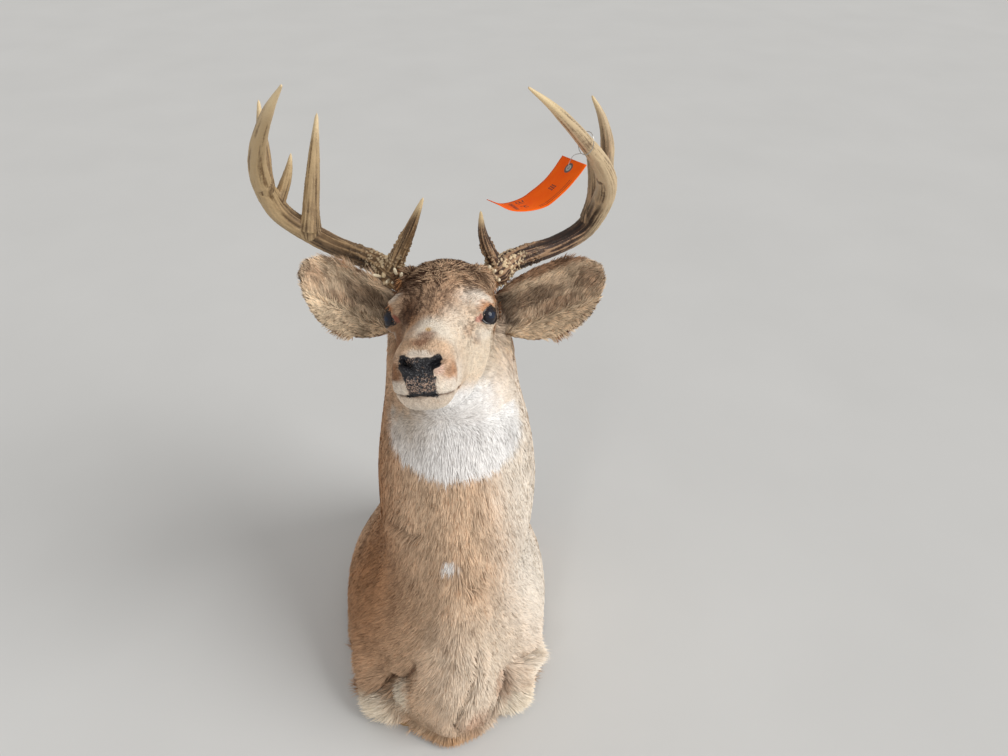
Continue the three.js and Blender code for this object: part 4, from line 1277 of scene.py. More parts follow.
def tufts(rows, place, normal, lie, length, wide, lift, droop):
    """The points of each tuft: a pair for each row but the last, and the tip."""
    vary = 0.75 + 0.5 * chance.random(len(place))
    length, lift = length * vary, lift * (0.6 + 0.8 * chance.random(len(place)))
    side = unit(np.cross(normal, lie))
    turn = chance.normal(0, TUFT_ROLL, len(place))[:, None]
    side = side * np.cos(turn) + normal * np.sin(turn)
    found = []
    for share, rise, half in rows:
        middle = place + lie * (length * share)[:, None] + normal * (lift * rise - droop * share**2)[:, None]
        across = side * (wide * half)[:, None]
        found += [middle - across, middle + across] if half else [middle]
    return np.stack(found, 1)


BAKE_PATCH = 0.003


def coat_piece(name, points, rows, roots, tones, ears, folds, unwrap):
    """One mesh of many tufts, with what its finish reads and its OFBake map."""
    count, size = points.shape[:2]
    one = [2 * k + corner for k in range(len(rows) - 2) for corner in (0, 1, 3, 2)] + [size - 3, size - 2, size - 1]
    sides = [4] * (len(rows) - 2) + [3]
    along = np.repeat([row[0] for row in rows], 2)[:size]
    across = np.array([k % 2 for k in range(size - 1)] + [0.5])
    corners = np.array(one)[None] + size * np.arange(count)[:, None]
    made = mesh_object(name, points.reshape(-1, 3), corners.ravel(), np.tile(sides, count))
    keep(made, "along", np.tile(along, count))
    for kept, values in (("root", roots), ("ear", ears), ("tone", tones), ("fold", folds)):
        keep(made, kept, np.repeat(values, size, axis=0))
    patch = np.stack([across, along], 1)[one] - 0.5
    bake = unwrap[:, None, :] + BAKE_PATCH * patch[None]
    made.data.uv_layers.new(name="OFBake").uv.foreach_set("vector", np.clip(bake, 0, 1).astype(np.float32).ravel())
    made.data.materials.append(coat_finish)
    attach(made, "root")
    print(name, count, "tufts,", count * (2 * len(rows) - 3), "triangles")
    return made


length, wide, lift = tuft_sizes(root_place, root_head, root_where, root_ear, root_fold)
length = np.minimum(length, 0.7 * root_place[:, 2] / np.maximum(-root_lie[:, 2], 0.05))
BODY_CURVE, HEAD_CURVE = 0.14, 0.045  # m, the radius over which a tuft bends with the skin
curve = np.where(root_where["body"] > 0.5, BODY_CURVE, HEAD_CURVE)
droop = length**2 / (2 * curve) * 0.8
face_streaks = cloud(root_head * (1, 0.2, 0.5), 2.2, 13)
body_streaks = cloud(root_place * (1, 1, 0.14), 0.0033, 11)
streaks = np.where(root_where["face"] > 0.5, face_streaks, body_streaks)
# the upright swaths of the second cloud are painted shade and light of the coat's waves and partings; the rest of the
# tone varies at random
patches, waves = cloud(root_place, 0.03, 12), cloud(root_place * (1, 1, 0.35), 0.017, 14)
root_tone = 0.35 * chance.random(len(root_place)) + 0.65 * streaks + 0.35 * patches + 0.35 * waves - 0.35
root_tone = np.clip(root_tone, 0, 1)

# %% [markdown]
# ## Cut the coat into pieces
#
# One mesh of a million faces is unwieldy, so the coat is cut by place, each piece under 200,000 triangles.
# Each has a map that unrolls the skin: round the neck and down it on the body, round the muzzle and back on
# the head, and a flat of each side on the ears.


# %% Pieces and their maps
ROUND = 0.98  # the share of the map that one turn takes
BAND_HEIGHTS = [0.09, 0.17, 0.26, 0.36, 0.47]
BANDS = ("hem", "brisket", "shoulder", "chest", "neck", "throat")


def body_unwrap(place):
    """Round the neck's upright axis and down it."""
    turn = np.arctan2(place[:, 0] - MIDLINE, -place[:, 1])
    return np.stack([0.5 + turn / tau * ROUND, 0.01 + place[:, 2] / 0.8], 1)


def head_unwrap(head):
    """Round the line from nose to poll and along it."""
    turn = np.arctan2(head[:, 0], -(head[:, 2] + 35))
    return np.stack([0.5 + turn / tau * ROUND, (head[:, 1] + 210) / 400], 1)


is_ear = root_ear[:, 0] > 0.1
is_face = ~is_ear & (root_where["face"] > 0.5)
is_body = ~is_ear & ~is_face
left = root_place[:, 0] > MIDLINE
bands = np.digitize(root_place[:, 2], BAND_HEIGHTS)
pieces = {}
for side, on_side in (("left", left), ("right", ~left)):
    for band, part in enumerate(BANDS):
        pieces[f"coat_{part}_{side}"] = (is_body & on_side & (bands == band), body_unwrap(root_place))
for side, on_side in (("left", root_head[:, 0] > 0), ("right", root_head[:, 0] <= 0)):
    pieces[f"coat_face_{side}"] = (is_face & on_side, head_unwrap(root_head))
for side, ear in EARS.items():
    share, _ = along_ear(root_place, ear)
    flat = unit(np.cross(np.array(ear["tip"], float) - ear["root"], ear["mouth"]))
    offset = (root_place * 1000 - ear["root"]) @ flat / 130
    outer = (root_normal @ np.array(ear["mouth"])) < 0
    unrolled = np.stack([0.25 + 0.5 * outer + offset * 0.45, 0.02 + 0.9 * share / 1.1], 1)
    pieces[f"coat_ear_{side}"] = (is_ear & (left == (side == "left")), unrolled)
for name, (chosen, unwrap) in pieces.items():
    rows = LONG_ROWS if "ear" in name else SHORT_ROWS
    shape = (kept[chosen] for kept in (root_place, root_normal, root_lie, length, wide, lift, droop))
    looks = (kept[chosen] for kept in (root_place, root_tone, root_ear, root_fold, unwrap))
    coat_piece(name, tufts(rows, *shape), rows, *looks)

# %% [markdown]
# ## Glass eyes
#
# A taxidermist's eye is a painted glass ball: a nearly black iris with a wide, level pupil, under a clear
# dome. The pupil is painted blue-grey, a painted sheen for the bluish glint the light gives it. The dome
# bulges a little more than the ball. The iris is painted in the ball's own directions, which are kept on
# its points, so it turns with the eye. A clear coat gives the wet look and one sharp highlight.


# %% Eye globes
EYE_RINGS, EYE_TURNS = 40, 64
DOME_HIGH, DOME_WIDE = 0.55, radians(30)


def globe(name, eye, nodes):
    """A glass eye, facing eye["out"], with its own directions on its points."""
    bends = np.linspace(0.0, radians(112), EYE_RINGS)
    bend, turn = np.meshgrid(bends, np.linspace(0, tau, EYE_TURNS, endpoint=False), indexing="ij")
    dome = DOME_HIGH * bell(bend, DOME_WIDE)
    own = np.stack([np.sin(bend) * np.cos(turn), np.sin(bend) * np.sin(turn), np.cos(bend)], -1).reshape(-1, 3)
    frame_of = np.stack([eye["ahead"], eye["up"], eye["out"]])
    points = eye["at"] + own @ frame_of * (EYE_RADIUS - 0.15 + dome.reshape(-1, 1))
    faces = ring_faces(EYE_RINGS, EYE_TURNS, eye["side"] > 0)
    made = mesh_object(name, from_head(points), faces.ravel(), np.full(len(faces), 4))
    keep(made, "facing", own)
    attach(made, "root")
    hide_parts(nodes)
    return made


eye_bench = Bench("eye_glass")
facing = eye_bench.kept("facing", "Vector")
pupil = eye_bench.ease(eye_bench.length(facing * (1 / 0.42, 1 / 0.22, 0.0)), 1.15, 0.9)
iris = eye_bench.ease(eye_bench.length(facing * (1.0, 1.0, 0.0)), 0.74, 0.6)
fibres = eye_bench.noise(facing, 9, 4, stretch=(1, 1, 0.2))
iris_colour = eye_bench.mix(fibres, shade(22, 22, 28), shade(48, 46, 52))
glass_colour = eye_bench.mix(iris, shade(12, 9, 8), iris_colour)
# painted sheen: the level pupil is painted blue-grey, for the bluish glint the light gives it
glass_colour = eye_bench.mix(pupil, glass_colour, shade(36, 44, 60))
eye_glass = eye_bench.finish(Base_Color=glass_colour, Roughness=0.06, IOR=1.45, Specular_IOR_Level=0.3)
for side, eye in EYES.items():
    globe(f"eye_globe_{side}", eye, f"eye_{side}").data.materials.append(eye_glass)
print("eyes facing", [np.round(eye["out"], 2).tolist() for eye in EYES.values()])

# %% [markdown]
# ## Antlers
#
# An antler is bone that grew under velvet: round in section, with long ridges and grooves where the vessels
# ran, a burr of beads at its base and smooth, worn, ivory tips. A tube is swept along each beam and tine,
# all of one antler are melted together so that the forks blend, and the surface is then raised and lowered:
# long ridges that follow the stem, small bumps, and beads that crowd at the burr. A few long beads that
# stand up like fingers are tubes of their own. The height of the ridges is kept on the points, because dirt
# and stain stay in the grooves.


# %% Lines of the beams and tines
def bowed(points, count):
    """count places, evenly spaced, on a smooth curve through the points."""
    points = np.asarray(points, float)
    points = np.vstack([2 * points[0] - points[1], points, 2 * points[-1] - points[-2]])
    fine = []
    for k in range(1, len(points) - 2):
        p0, p1, p2, p3 = points[k - 1 : k + 3]
        d0, d1, d2 = (np.sqrt(np.linalg.norm(b - a)) for a, b in ((p0, p1), (p1, p2), (p2, p3)))
        leave = ((p1 - p0) / d0 - (p2 - p0) / (d0 + d1) + (p2 - p1) / d1) * d1
        arrive = ((p2 - p1) / d1 - (p3 - p1) / (d1 + d2) + (p3 - p2) / d2) * d1
        t = np.linspace(0, 1, 40, endpoint=False)[:, None]
        square, cube = 3 * (p2 - p1) - 2 * leave - arrive, 2 * (p1 - p2) + leave + arrive
        fine.append(p1 + leave * t + square * t**2 + cube * t**3)
    fine = np.vstack([*fine, points[-2:-1]])
    run = np.concatenate([[0], np.cumsum(np.linalg.norm(np.diff(fine, axis=0), axis=1))])
    even = np.linspace(0, run[-1], count)
    return np.stack([np.interp(even, run, fine[:, k]) for k in range(3)], 1)


def stem_frames(line):
    """Along, side and other side at each place of a line, without twist."""
    ahead = unit(np.gradient(line, axis=0))
    side = unit(np.cross(ahead[0], (0.3, 0.5, 0.81)))
    sides = []
    for way in ahead:
        side = unit(side - way * (side @ way))
        sides.append(side)
    sides = np.array(sides)
    return ahead, sides, np.cross(ahead, sides)


def tube(line, radii, steps=28):
    """A closed tube round a line, as points and triangles."""
    _, side, other = stem_frames(line)
    turn = np.linspace(0, tau, steps, endpoint=False)[None, :, None]
    ring = np.cos(turn) * side[:, None] + np.sin(turn) * other[:, None]
    points = (line[:, None] + ring * radii[:, None, None]).reshape(-1, 3)
    quads = ring_faces(len(line), steps, False)
    faces = np.concatenate([quads[:, [0, 1, 2]], quads[:, [0, 2, 3]]])
    last = (len(line) - 1) * steps
    fan, middle = np.arange(steps), np.full(steps, len(points))
    following = (fan + 1) % steps
    caps = [np.stack([middle, following, fan], 1), np.stack([middle + 1, last + fan, last + following], 1)]
    return np.vstack([points, line[:1], line[-1:]]), np.concatenate([faces, *caps])


BEAM_RADII = [18.5, 15.5, 15, 15.5, 16, 14, 11.5, 9.5, 7.5, 2.5]
ANTLERS = {
    "left": {
        "beam": [
            (86, 44, 686), (131, 72, 703), (197, 105, 709), (240, 120, 727), (259, 112, 765),
            (262, 90, 805), (249, 55, 846), (211, 0, 905), (163, -40, 962), (131, -55, 990),
        ],
        "tines": {
            "brow_tine": (10.5, [(107, 56, 702), (94, 46, 732), (84, 36, 766), (81, 28, 806)]),
            "second_tine": (12, [(249, 120, 745), (254, 128, 785), (246, 140, 835), (225, 150, 877)]),
            "third_tine": (10.5, [(252, 66, 835), (256, 80, 868), (247, 92, 905), (231, 100, 934)]),
        },
        "lengths": ["beam_base", "beam_rise", "beam_tip"],
    },
    "right": {
        "beam": [
            (-30, 44, 688), (-74, 80, 702), (-133, 112, 713), (-177, 128, 733), (-204, 120, 763),
            (-215, 104, 803), (-211, 70, 855), (-194, 32, 900), (-164, -15, 955), (-138, -45, 992),
        ],
        "tines": {
            "brow_tine": (11.5, [(-46, 56, 702), (-32, 46, 735), (-12, 32, 782), (7, 20, 830)]),
            "second_tine": (12.5, [(-166, 122, 733), (-161, 130, 768), (-151, 148, 830), (-140, 168, 893)]),
            "short_tine": (9.5, [(-206, 118, 778), (-194, 124, 800), (-184, 128, 824), (-177, 130, 849)]),
            "third_tine": (10.5, [(-213, 96, 814), (-208, 100, 850), (-206, 106, 893), (-203, 110, 930)]),
        },
        "lengths": ["beam_base", "beam_rise", "beam_bend", "beam_tip"],
    },
}
# the burr's place is a share of the beam, the rest is mm
BURR_AT, BURR_WIDE, BURR_RADIUS, TIP_RADIUS, RIDGE_ROOM = 0.045, 0.011, 22.0, 1.9, 0.9
# long ivory pearls that stand like fingers at the burr: foot, way, length
FINGERS = {
    "left": [
        ((84, 29, 704), (-0.4, -0.4, 1), 17), ((92, 27, 714), (0.1, -0.6, 1), 11),
        ((99, 24, 712), (0.2, -0.8, 0.8), 10), ((106, 23, 700), (0, -1, 0.4), 9),
    ],
    "right": [
        ((-64, 41, 700), (-0.6, -0.7, 0.6), 13), ((-38, 25, 712), (-0.1, -0.6, 1), 16),
        ((-32, 25, 706), (0.2, -0.7, 1), 16), ((-25, 27, 703), (0.7, -0.6, 0.8), 12),
        ((-42, 26, 698), (-0.2, -1, 0.5), 11), ((-50, 31, 698), (-0.3, -1, 0.3), 10),
    ],
}
FINGER_RADIUS, FINGER_SUNK, FINGER_ROWS, FINGER_STEPS = 2.4, 4, 18, 16
# the way each antler's worn, pale flank faces
WORN_SIDE = {"left": unit(np.array((0.7, -0.35, -0.6))), "right": unit(np.array((-0.5, -0.6, -0.6)))}


def beam_radius(share):
    """The beam's radius along it, with the burr as a swelling near its base."""
    plain = np.interp(share, np.linspace(0, 1, len(BEAM_RADII)), BEAM_RADII)
    return plain + (BURR_RADIUS - plain) * bell(share - BURR_AT, BURR_WIDE)


def tine_radius(share, base):
    """A tine flares into the beam, then narrows to a worn point."""
    plain = base * (1 + 0.35 * np.maximum(0, 1 - share / 0.25) ** 2) * (1 - 0.8 * share**2)
    return np.maximum(plain * np.sqrt(np.clip((1 - share) / 0.05, 0.2, 1)), TIP_RADIUS * 0.6)


print("antlers with", [len(a["tines"]) for a in ANTLERS.values()], "tines")


# %% Raise the ridges and beads
ANTLER_CELL, BEAM_PLACES, TINE_PLACES = 0.0013, 240, 80
AT_ONCE = 4000
# times round the stem, mm along it, weight
RIDGES = ((2.0, 110, 0.5), (4.2, 70, 1.0), (7.0, 30, 0.5))
BURR_BEADS, BEAM_BEADS = 60, 420
BONE_NUMBERS = ("ridge", "pearl", "tipward", "low", "stain", "worn")
FINGER_PEARL = 9.0


def nearest_place(points, centre, radii):
    """Which place of the stems' middle lines each point belongs to, by its height over the stem."""
    found = np.empty(len(points), int)
    for start in range(0, len(points), AT_ONCE):
        off = np.linalg.norm(points[start : start + AT_ONCE, None] - centre[None], axis=2) - radii
        found[start : start + AT_ONCE] = off.argmin(1)
    return found


def ridge_height(turn, far, seed):
    """Long ridges: a cloud wound round the stem and drawn out along it, with its middle values as crests."""
    ridge = np.full(len(turn), -0.55)
    for count, reach, weight in RIDGES:
        around = np.stack([np.cos(turn) * count, np.sin(turn) * count, far / reach], 1)
        crest = (1 - np.abs(2 * cloud(around, 1.0, seed + int(count * 10)) - 1) * 1.5).clip(0, 1)
        ridge += weight * crest**1.5
    return ridge


def beaded(points, at_burr, above, weights, seed):
    """How high beads raise each point in mm: big ones at the burr, small ones above it."""
    draw = np.random.default_rng(seed)
    beads = [(k, 2.4 + 1.6 * draw.random(), 2.2 + 2.0 * draw.random()) for k in draw.choice(at_burr, BURR_BEADS)]
    small = draw.choice(above, BEAM_BEADS, p=weights / weights.sum())
    beads += [(k, 1.7 + 1.3 * draw.random(), 1.0 + 1.3 * draw.random()) for k in small]
    pearl = np.zeros(len(points))
    for k, size, height in beads:
        near = np.flatnonzero(np.abs(points - points[k]).max(1) < size)
        off = np.linalg.norm(points[near] - points[k], axis=1) / size
        pearl[near] = np.maximum(pearl[near], np.maximum(1 - off**2, 0) ** 1.5 * height)
    return pearl


def finger(foot, way, reach):
    """One long bead as a closed tube with a round end, sunk a little into the bone."""
    t = np.linspace(0, 1, FINGER_ROWS)
    run = -FINGER_SUNK + (reach + FINGER_SUNK) * t
    line = np.array(foot, float) + unit(np.array(way, float)) * run[:, None]
    return tube(line, FINGER_RADIUS * np.sqrt(1.02 - t**5) * (0.8 + 0.3 * t), FINGER_STEPS)


# %% Melt each antler and give it its surface
def antler_mesh(side, antler, seed):
    """One antler as a mesh object, with the BONE_NUMBERS on its points."""
    stems = [(bowed(antler["beam"], BEAM_PLACES), beam_radius(np.linspace(0, 1, BEAM_PLACES)))]
    for base, line in antler["tines"].values():
        stems.append((bowed(line, TINE_PLACES), tine_radius(np.linspace(0, 1, TINE_PLACES), base)))
    lumps = [tube(line / 1000, (radii - RIDGE_ROOM * 0.5) / 1000) for line, radii in stems]
    points, corners, sides, edges = melted(lumps, ANTLER_CELL)
    points = smoothed(points, edges, np.full(len(points), DRAW), ANTLER_ROUNDS) * 1000

    # where each point is: its stem, the share of the stem, the mm along it and the turn round it
    centre, radii = (np.concatenate(parts) for parts in zip(*stems))
    shares = [np.linspace(0, 1, len(line)) for line, _ in stems]
    lengths = [np.linalg.norm(np.diff(line, axis=0), axis=1).sum() for line, _ in stems]
    run = np.concatenate([share * length for share, length in zip(shares, lengths)])
    _, side_ways, other_ways = (np.concatenate(parts) for parts in zip(*(stem_frames(line) for line, _ in stems)))
    nearest = nearest_place(points, centre, radii)
    out = points - centre[nearest]
    turn = np.arctan2((out * other_ways[nearest]).sum(1), (out * side_ways[nearest]).sum(1))
    far, thick, share = run[nearest], radii[nearest], np.concatenate(shares)[nearest]
    on_beam = nearest < BEAM_PLACES
    on_brow = ~on_beam & (nearest < BEAM_PLACES + TINE_PLACES)
    tip = np.where(on_beam, share**2, share)

    # ridges and grain, worn smooth at the tips, and beads
    ridge = ridge_height(turn, far, seed)
    grain = cloud(points, 2.2, seed + 5) - 0.5
    low = np.where(on_beam, ease(share, 0.26, 0.04), on_brow * ease(share, 0.8, 0.1) * 0.75)
    smooth_tip = 1 - 0.85 * ease(tip, 0.5, 0.9)
    raised = (ridge * np.minimum(1.1, thick * 0.08) + grain * (0.4 + 1.4 * low)) * smooth_tip
    at_burr = np.flatnonzero(on_beam & (np.abs(share - BURR_AT) < 0.02))
    above = np.flatnonzero((low > 0.3) & (share > 0.05))
    pearl = beaded(points, at_burr, above, low[above], seed)

    # where stain has stayed, and where the flank is worn pale
    tine_stain = np.where(on_brow, ease(share, 0.92, 0.7), 0.75 * ease(share, 0.85, 0.1))
    stain = np.where(on_beam, ease(share, 0.62, 0.3), tine_stain)
    normal = normals_of(points, corners, sides)
    flank = ease(normal @ WORN_SIDE[side] + 0.5 * (cloud(points, 14, seed + 6) - 0.5), 0.15, 0.7)
    worn = np.maximum(on_beam * ease(share, 0.26, 0.4), ~on_beam & ~on_brow) * flank
    points = points + normal * (raised + pearl - RIDGE_ROOM * 0.2)[:, None]

    # the fingers join the mesh as lumps of their own
    bodies, count = [(points / 1000, corners, sides)], len(points)
    for found, faces in (finger(*placed) for placed in FINGERS[side]):
        bodies.append((found / 1000, faces.ravel() + count, np.full(len(faces), 3)))
        count += len(found)
    made = mesh_object(f"antler_{side}", *(np.concatenate(parts) for parts in zip(*bodies)))
    for name, values in zip(BONE_NUMBERS, (ridge, pearl, tip, low, stain, worn)):
        rest = np.full(count - len(points), FINGER_PEARL if name == "pearl" else 0.0)
        keep(made, name, np.concatenate([values, rest]))
    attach(made, "root")
    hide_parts(*(f"antler_{side}_{part}" for part in (*antler["lengths"], *antler["tines"])))
    print(made.name, "has", len(made.data.polygons), "faces")
    return made


antler_left = antler_mesh("left", ANTLERS["left"], 31)
antler_right = antler_mesh("right", ANTLERS["right"], 57)

# %% [markdown]
# ## The finish of bone
#
# Bark stain darkens the grooves and rubbing bleaches the ridges. The stain fades toward the tips, which are
# ivory. The two antlers of a pair are rarely stained alike: here the left one is dark brown with pale
# ridges, the right one tan.


# %% Antler finishes
PEARL, IVORY = shade(218, 196, 160), shade(240, 226, 196)


def bone(name, groove, bark, crest, pale_groove, pale_crest, tip_colour, stained):
    """Antler finish: colours of stained and of worn bone from groove to crest, of the tips, and the stain's share."""
    bench = Bench(name)
    place = bench.place()
    height, pearl, tipward, low, stain, worn = (bench.kept(name) for name in BONE_NUMBERS)
    broad = bench.noise(place, 22, 4)
    middling = bench.noise(place, 150, 4, 0.6)
    fine = bench.noise(place, 560, 3)
    patchy = height + (middling - 0.5) * 0.8 + (fine - 0.5) * 0.5
    dark = bench.mix(bench.ease(patchy, -0.5, 0.35), groove, bark)
    dark = bench.mix(bench.ease(patchy, 0.35, 0.8), dark, crest)
    pale = bench.mix(bench.ease(patchy, -0.6, 0.3), pale_groove, pale_crest)
    colour = bench.mix((stain + (broad - 0.5) * 0.5) * (1.0 - worn * 0.85) * stained, pale, dark)
    colour = bench.mix(bench.ease(tipward + (fine - 0.5) * 0.1, 0.72, 0.92) * (1.0 - stain), colour, tip_colour)
    bead = bench.ease(pearl + (fine - 0.5) * 0.6, 0.5, 1.3)
    colour = bench.mix(bead * bench.ease(low + (broad - 0.5) * 0.4, 0.5, 0.95, 0.12, 1.0), colour, PEARL)
    colour = bench.mix(bench.ease(pearl, 5.0, 6.0), colour, IVORY)
    pores = bench.node("ShaderNodeTexVoronoi", {}, {"Vector": place, "Scale": 900.0})
    relief = middling * 1.6 + fine * 0.6 + pores * 0.25
    return bench.finish(
        Base_Color=colour,
        Roughness=bench.ease(tipward, 0.5, 0.95, 0.56, 0.36),
        Specular_IOR_Level=0.4,
        Normal=bench.bump(relief, 0.0009, 0.7),
    )


antler_left.data.materials.append(bone(
    "antler_dark", groove=shade(30, 19, 13), bark=shade(68, 46, 33), crest=shade(164, 132, 102),
    pale_groove=shade(104, 80, 56), pale_crest=shade(204, 180, 144), tip_colour=shade(222, 198, 154), stained=1.0,
))
antler_right.data.materials.append(bone(
    "antler_tan", groove=shade(50, 35, 22), bark=shade(106, 80, 54), crest=shade(166, 136, 100),
    pale_groove=shade(118, 92, 60), pale_crest=shade(192, 166, 126), tip_colour=shade(226, 202, 160), stained=0.9,
))
print("bone on", antler_left.name, "and", antler_right.name)

# %% [markdown]
# ## The backboard
#
# The board is plywood, seen only as a thin edge under the hide. Its node keeps its shape and gets a wood
# finish: rings stretched along the board, and the layers of the ply as thin bands in its edge.


# %% Board finish
def repaint(node, finish):
    """Gives a CAD node that stays a new finish."""
    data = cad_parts[node].data
    data.materials.clear()
    data.materials.append(finish)


wood_bench = Bench("plywood")
wood_place = wood_bench.place()
wood_grain = wood_bench.noise(wood_place, 26, 6, 0.6, stretch=(1, 0.07, 1))
wood_fibre = wood_bench.noise(wood_place, 300, 3, 0.6, stretch=(1, 0.05, 1))
ply = wood_bench.node(
    "ShaderNodeTexWave", {"bands_direction": "Z"},
    {"Vector": wood_place, "Scale": 55.0, "Distortion": 0.5, "Detail": 2.0},
)
wood_colour = wood_bench.mix(wood_bench.ease(wood_grain, 0.3, 0.7), shade(206, 172, 124), shade(168, 126, 80))
wood_colour = wood_bench.mix(wood_bench.ease(ply, 0.35, 0.75, 0.0, 0.35), wood_colour, shade(116, 80, 48))
wood_colour = wood_bench.mix(wood_bench.ease(wood_fibre, 0.4, 0.7, 0.0, 0.3), wood_colour, shade(140, 100, 62))
repaint("backboard", wood_bench.finish(
    Base_Color=wood_colour, Roughness=0.62, Normal=wood_bench.bump(wood_fibre + ply, 0.0006, 0.5)
))
print("board finish on backboard")

# %% [markdown]
# ## Card tag, eyelet and wire
#
# A hunter's tag is a strip of orange card that hangs by thin wire from one antler. The card has gone limp
# and curls, and a grey ring and a metal eyelet keep the wire from tearing it. It carries no writing, only
# ruled lines, a plain number and a row of bars.

# %% A finer card
# the card's middle line in mm, and the way across it at its start, middle and end
CARD_LINE = [(199, 5, 881), (186, -3, 866), (171, -12, 853), (145, -22, 838), (112, -29, 835), (93, -30, 843)]
CARD_ACROSS = np.array([(0.51, -0.81, 0.3), (0.32, -0.94, 0.12), (0.12, -0.93, 0.34)])
CARD_WIDE, CARD_THICK, CARD_ROWS, CARD_COLUMNS = 58.0, 0.8, 48, 12
card_line = bowed(CARD_LINE, CARD_ROWS)
card_ahead = unit(np.gradient(card_line, axis=0))
card_long = np.linalg.norm(np.diff(card_line, axis=0), axis=1).sum()


def on_card(along, across, lift):
    """The place in metres at that many mm along and across the card, lift mm over its face."""
    def between(rows):
        return np.stack([np.interp(along / card_long, np.linspace(0, 1, len(rows)), of) for of in rows.T], -1)

    middle, ahead, side = (between(rows) for rows in (card_line, card_ahead, CARD_ACROSS))
    side = unit(side - ahead * (side * ahead).sum(-1, keepdims=True))
    over = np.cross(side, ahead)
    return (middle + side * across[..., None] + over * lift[..., None]) / 1000


edge_to_edge = np.linspace(-0.5, 0.5, CARD_COLUMNS) * CARD_WIDE
ring = [(k, CARD_THICK / 2) for k in edge_to_edge] + [(k, -CARD_THICK / 2) for k in edge_to_edge[::-1]]
rows_along, place_on_ring = np.meshgrid(np.linspace(0, card_long, CARD_ROWS), np.arange(len(ring)), indexing="ij")
across, over = np.array(ring)[place_on_ring.ravel()].T
card_points = on_card(rows_along.ravel(), across, over)
card_quads = ring_faces(CARD_ROWS, len(ring), True)
card_ends = np.arange(len(card_points)).reshape(CARD_ROWS, -1)
card = mesh_object(
    "orange_card",
    card_points,
    np.concatenate([card_quads.ravel(), card_ends[0], card_ends[-1][::-1]]),
    np.array([4] * len(card_quads) + [len(ring)] * 2),
)
keep(card, "sheet", np.stack([rows_along.ravel(), across, np.zeros(across.size)], 1))
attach(card, "root")
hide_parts("tag_card")
print("card of", len(card.data.polygons), "faces,", round(card_long), "mm long")

# %% Printed lines and digits
# the strokes that make each digit: top, upper left, upper right, middle, lower left, lower right, foot
DIGITS = {"1": "0010010", "4": "0111010", "6": "1101111"}
STRIP_QUADS, INK_LIFT = 6, 0.08
STROKES = [(0, 0, 1, 0), (0, 0, 0, 1), (1, 0, 1, 1), (0, 1, 1, 1), (0, 1, 0, 2), (1, 1, 1, 2), (0, 2, 1, 2)]


def strip(start, end, wide):
    """A printed line from one place of the card to another, in mm along and across, as a row of quads."""
    start, end = np.array(start, float), np.array(end, float)
    middle = start + (end - start) * np.linspace(0, 1, STRIP_QUADS + 1)[:, None]
    aside = unit(end - start)[::-1] * (1, -1) * wide / 2
    pair = np.stack([middle + aside, middle - aside], 1).reshape(-1, 2)
    quads = np.array([(2 * k, 2 * k + 1, 2 * k + 3, 2 * k + 2) for k in range(STRIP_QUADS)])
    return on_card(pair[:, 0], -pair[:, 1], np.full(len(pair), -CARD_THICK / 2 - INK_LIFT)), quads


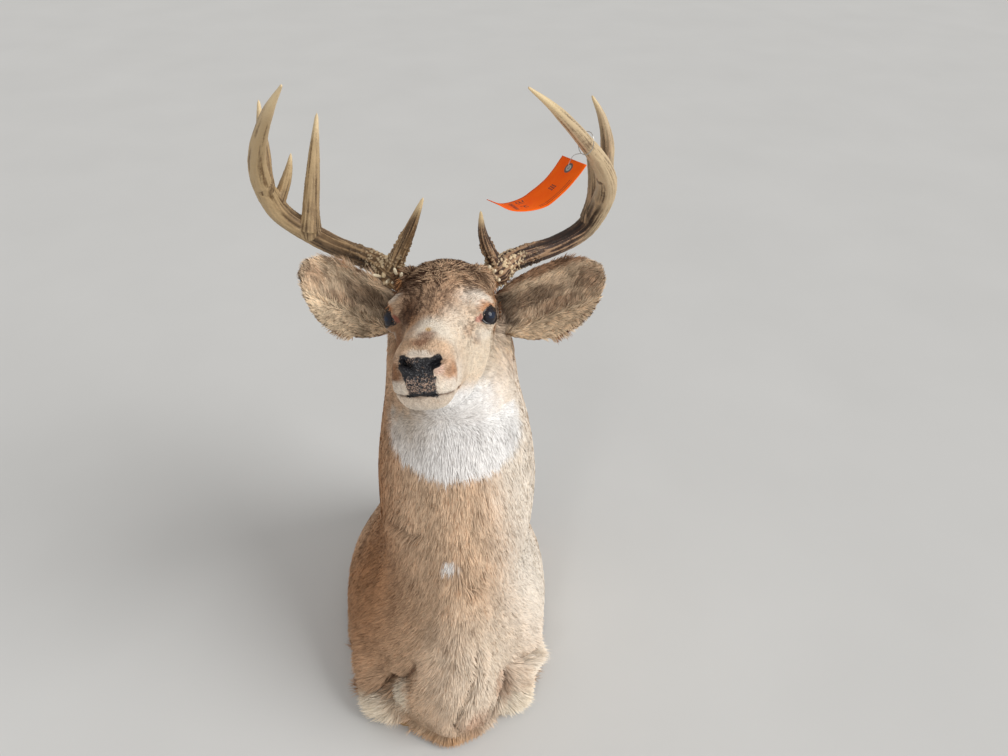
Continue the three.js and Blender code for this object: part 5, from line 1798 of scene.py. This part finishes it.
# two ruled lines, the number, a row of bars and a block of dots
printed = [strip((26, across), (74, across), 0.6) for across in (-20, -24)]
for number, digit in enumerate("416"):
    for drawn, (x0, y0, x1, y1) in zip(DIGITS[digit], STROKES):
        if drawn == "1":
            corner = np.array((84.0, -12.0 + 12 * number))
            printed.append(strip(corner + (4.5 * y0, 7 * x0), corner + (4.5 * y1, 7 * x1), 1.2))
for number in range(18):
    across = -20 + 2.2 * number
    printed.append(strip((98, across), (103, across), 0.5 + 0.9 * (number * 7 % 3) / 2))
for number in range(9):
    along, across = 40 + number % 3 * 3, -4 + 4 * (number // 3)
    printed.append(strip((along, across), (along + 2, across), 2.6))
starts = np.cumsum([0] + [len(points) for points, _ in printed])
ink_quads = np.concatenate([quads + start for (_, quads), start in zip(printed, starts)])
ink_points = np.concatenate([points for points, _ in printed])
ink = mesh_object("card_print", ink_points, ink_quads.ravel(), np.full(len(ink_quads), 4))
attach(ink, "root")
print("print of", len(printed), "strokes")

# %% Card, eyelet and wire finishes
card_bench = Bench("card_finish")
card_place = card_bench.place()
on_sheet = card_bench.kept("sheet", "Vector")
HOLE = (12.0, 0.0, 0.0)  # mm along the card
card_fibre = card_bench.noise(card_place, 900, 3)
card_soil = card_bench.noise(card_place, 40, 4)
card_colour = card_bench.mix(card_bench.ease(card_soil, 0.35, 0.75), shade(255, 104, 4), shade(250, 92, 0))
card_colour = card_bench.mix(card_bench.ease(card_fibre, 0.4, 0.7, 0.0, 0.14), card_colour, shade(255, 140, 60))
off_hole = card_bench.length(on_sheet - HOLE)
card_colour = card_bench.mix(card_bench.ease(off_hole, 7.4, 7.0), card_colour, shade(104, 96, 92))
card_colour = card_bench.mix(card_bench.ease(off_hole, 5.0, 4.6), card_colour, shade(150, 146, 142))
card.data.materials.append(card_bench.finish(
    Base_Color=card_colour, Roughness=0.8, Specular_IOR_Level=0.15, Normal=card_bench.bump(card_fibre, 0.0003, 0.5),
))
ink_bench = Bench("print_ink")
ink_wear = ink_bench.noise(ink_bench.place(), 700, 3)
ink_colour = ink_bench.mix(ink_wear, shade(34, 22, 20), shade(84, 46, 30))
ink.data.materials.append(ink_bench.finish(Base_Color=ink_colour, Roughness=0.6))
metal_bench = Bench("dull_steel")
metal_wear = metal_bench.noise(metal_bench.place(), 800, 3)
dull_steel = metal_bench.finish(
    Base_Color=metal_bench.mix(metal_wear, (0.42, 0.41, 0.39), (0.62, 0.61, 0.58)), Metallic=1.0,
    Roughness=metal_bench.ease(metal_wear, 0.2, 0.8, 0.28, 0.5), Normal=metal_bench.bump(metal_wear, 0.0001, 0.3),
)
repaint("tag_eyelet", dull_steel)
repaint("tag_wire", dull_steel)
print("tag finishes on card, eyelet and wire")

# %% [markdown]
# ## The end
#
# Last, the view layer is brought up to date. The dressed mount has to stay in the box of the solids, give
# or take a few millimetres of hair.

# %% The end
bpy.context.view_layer.update()
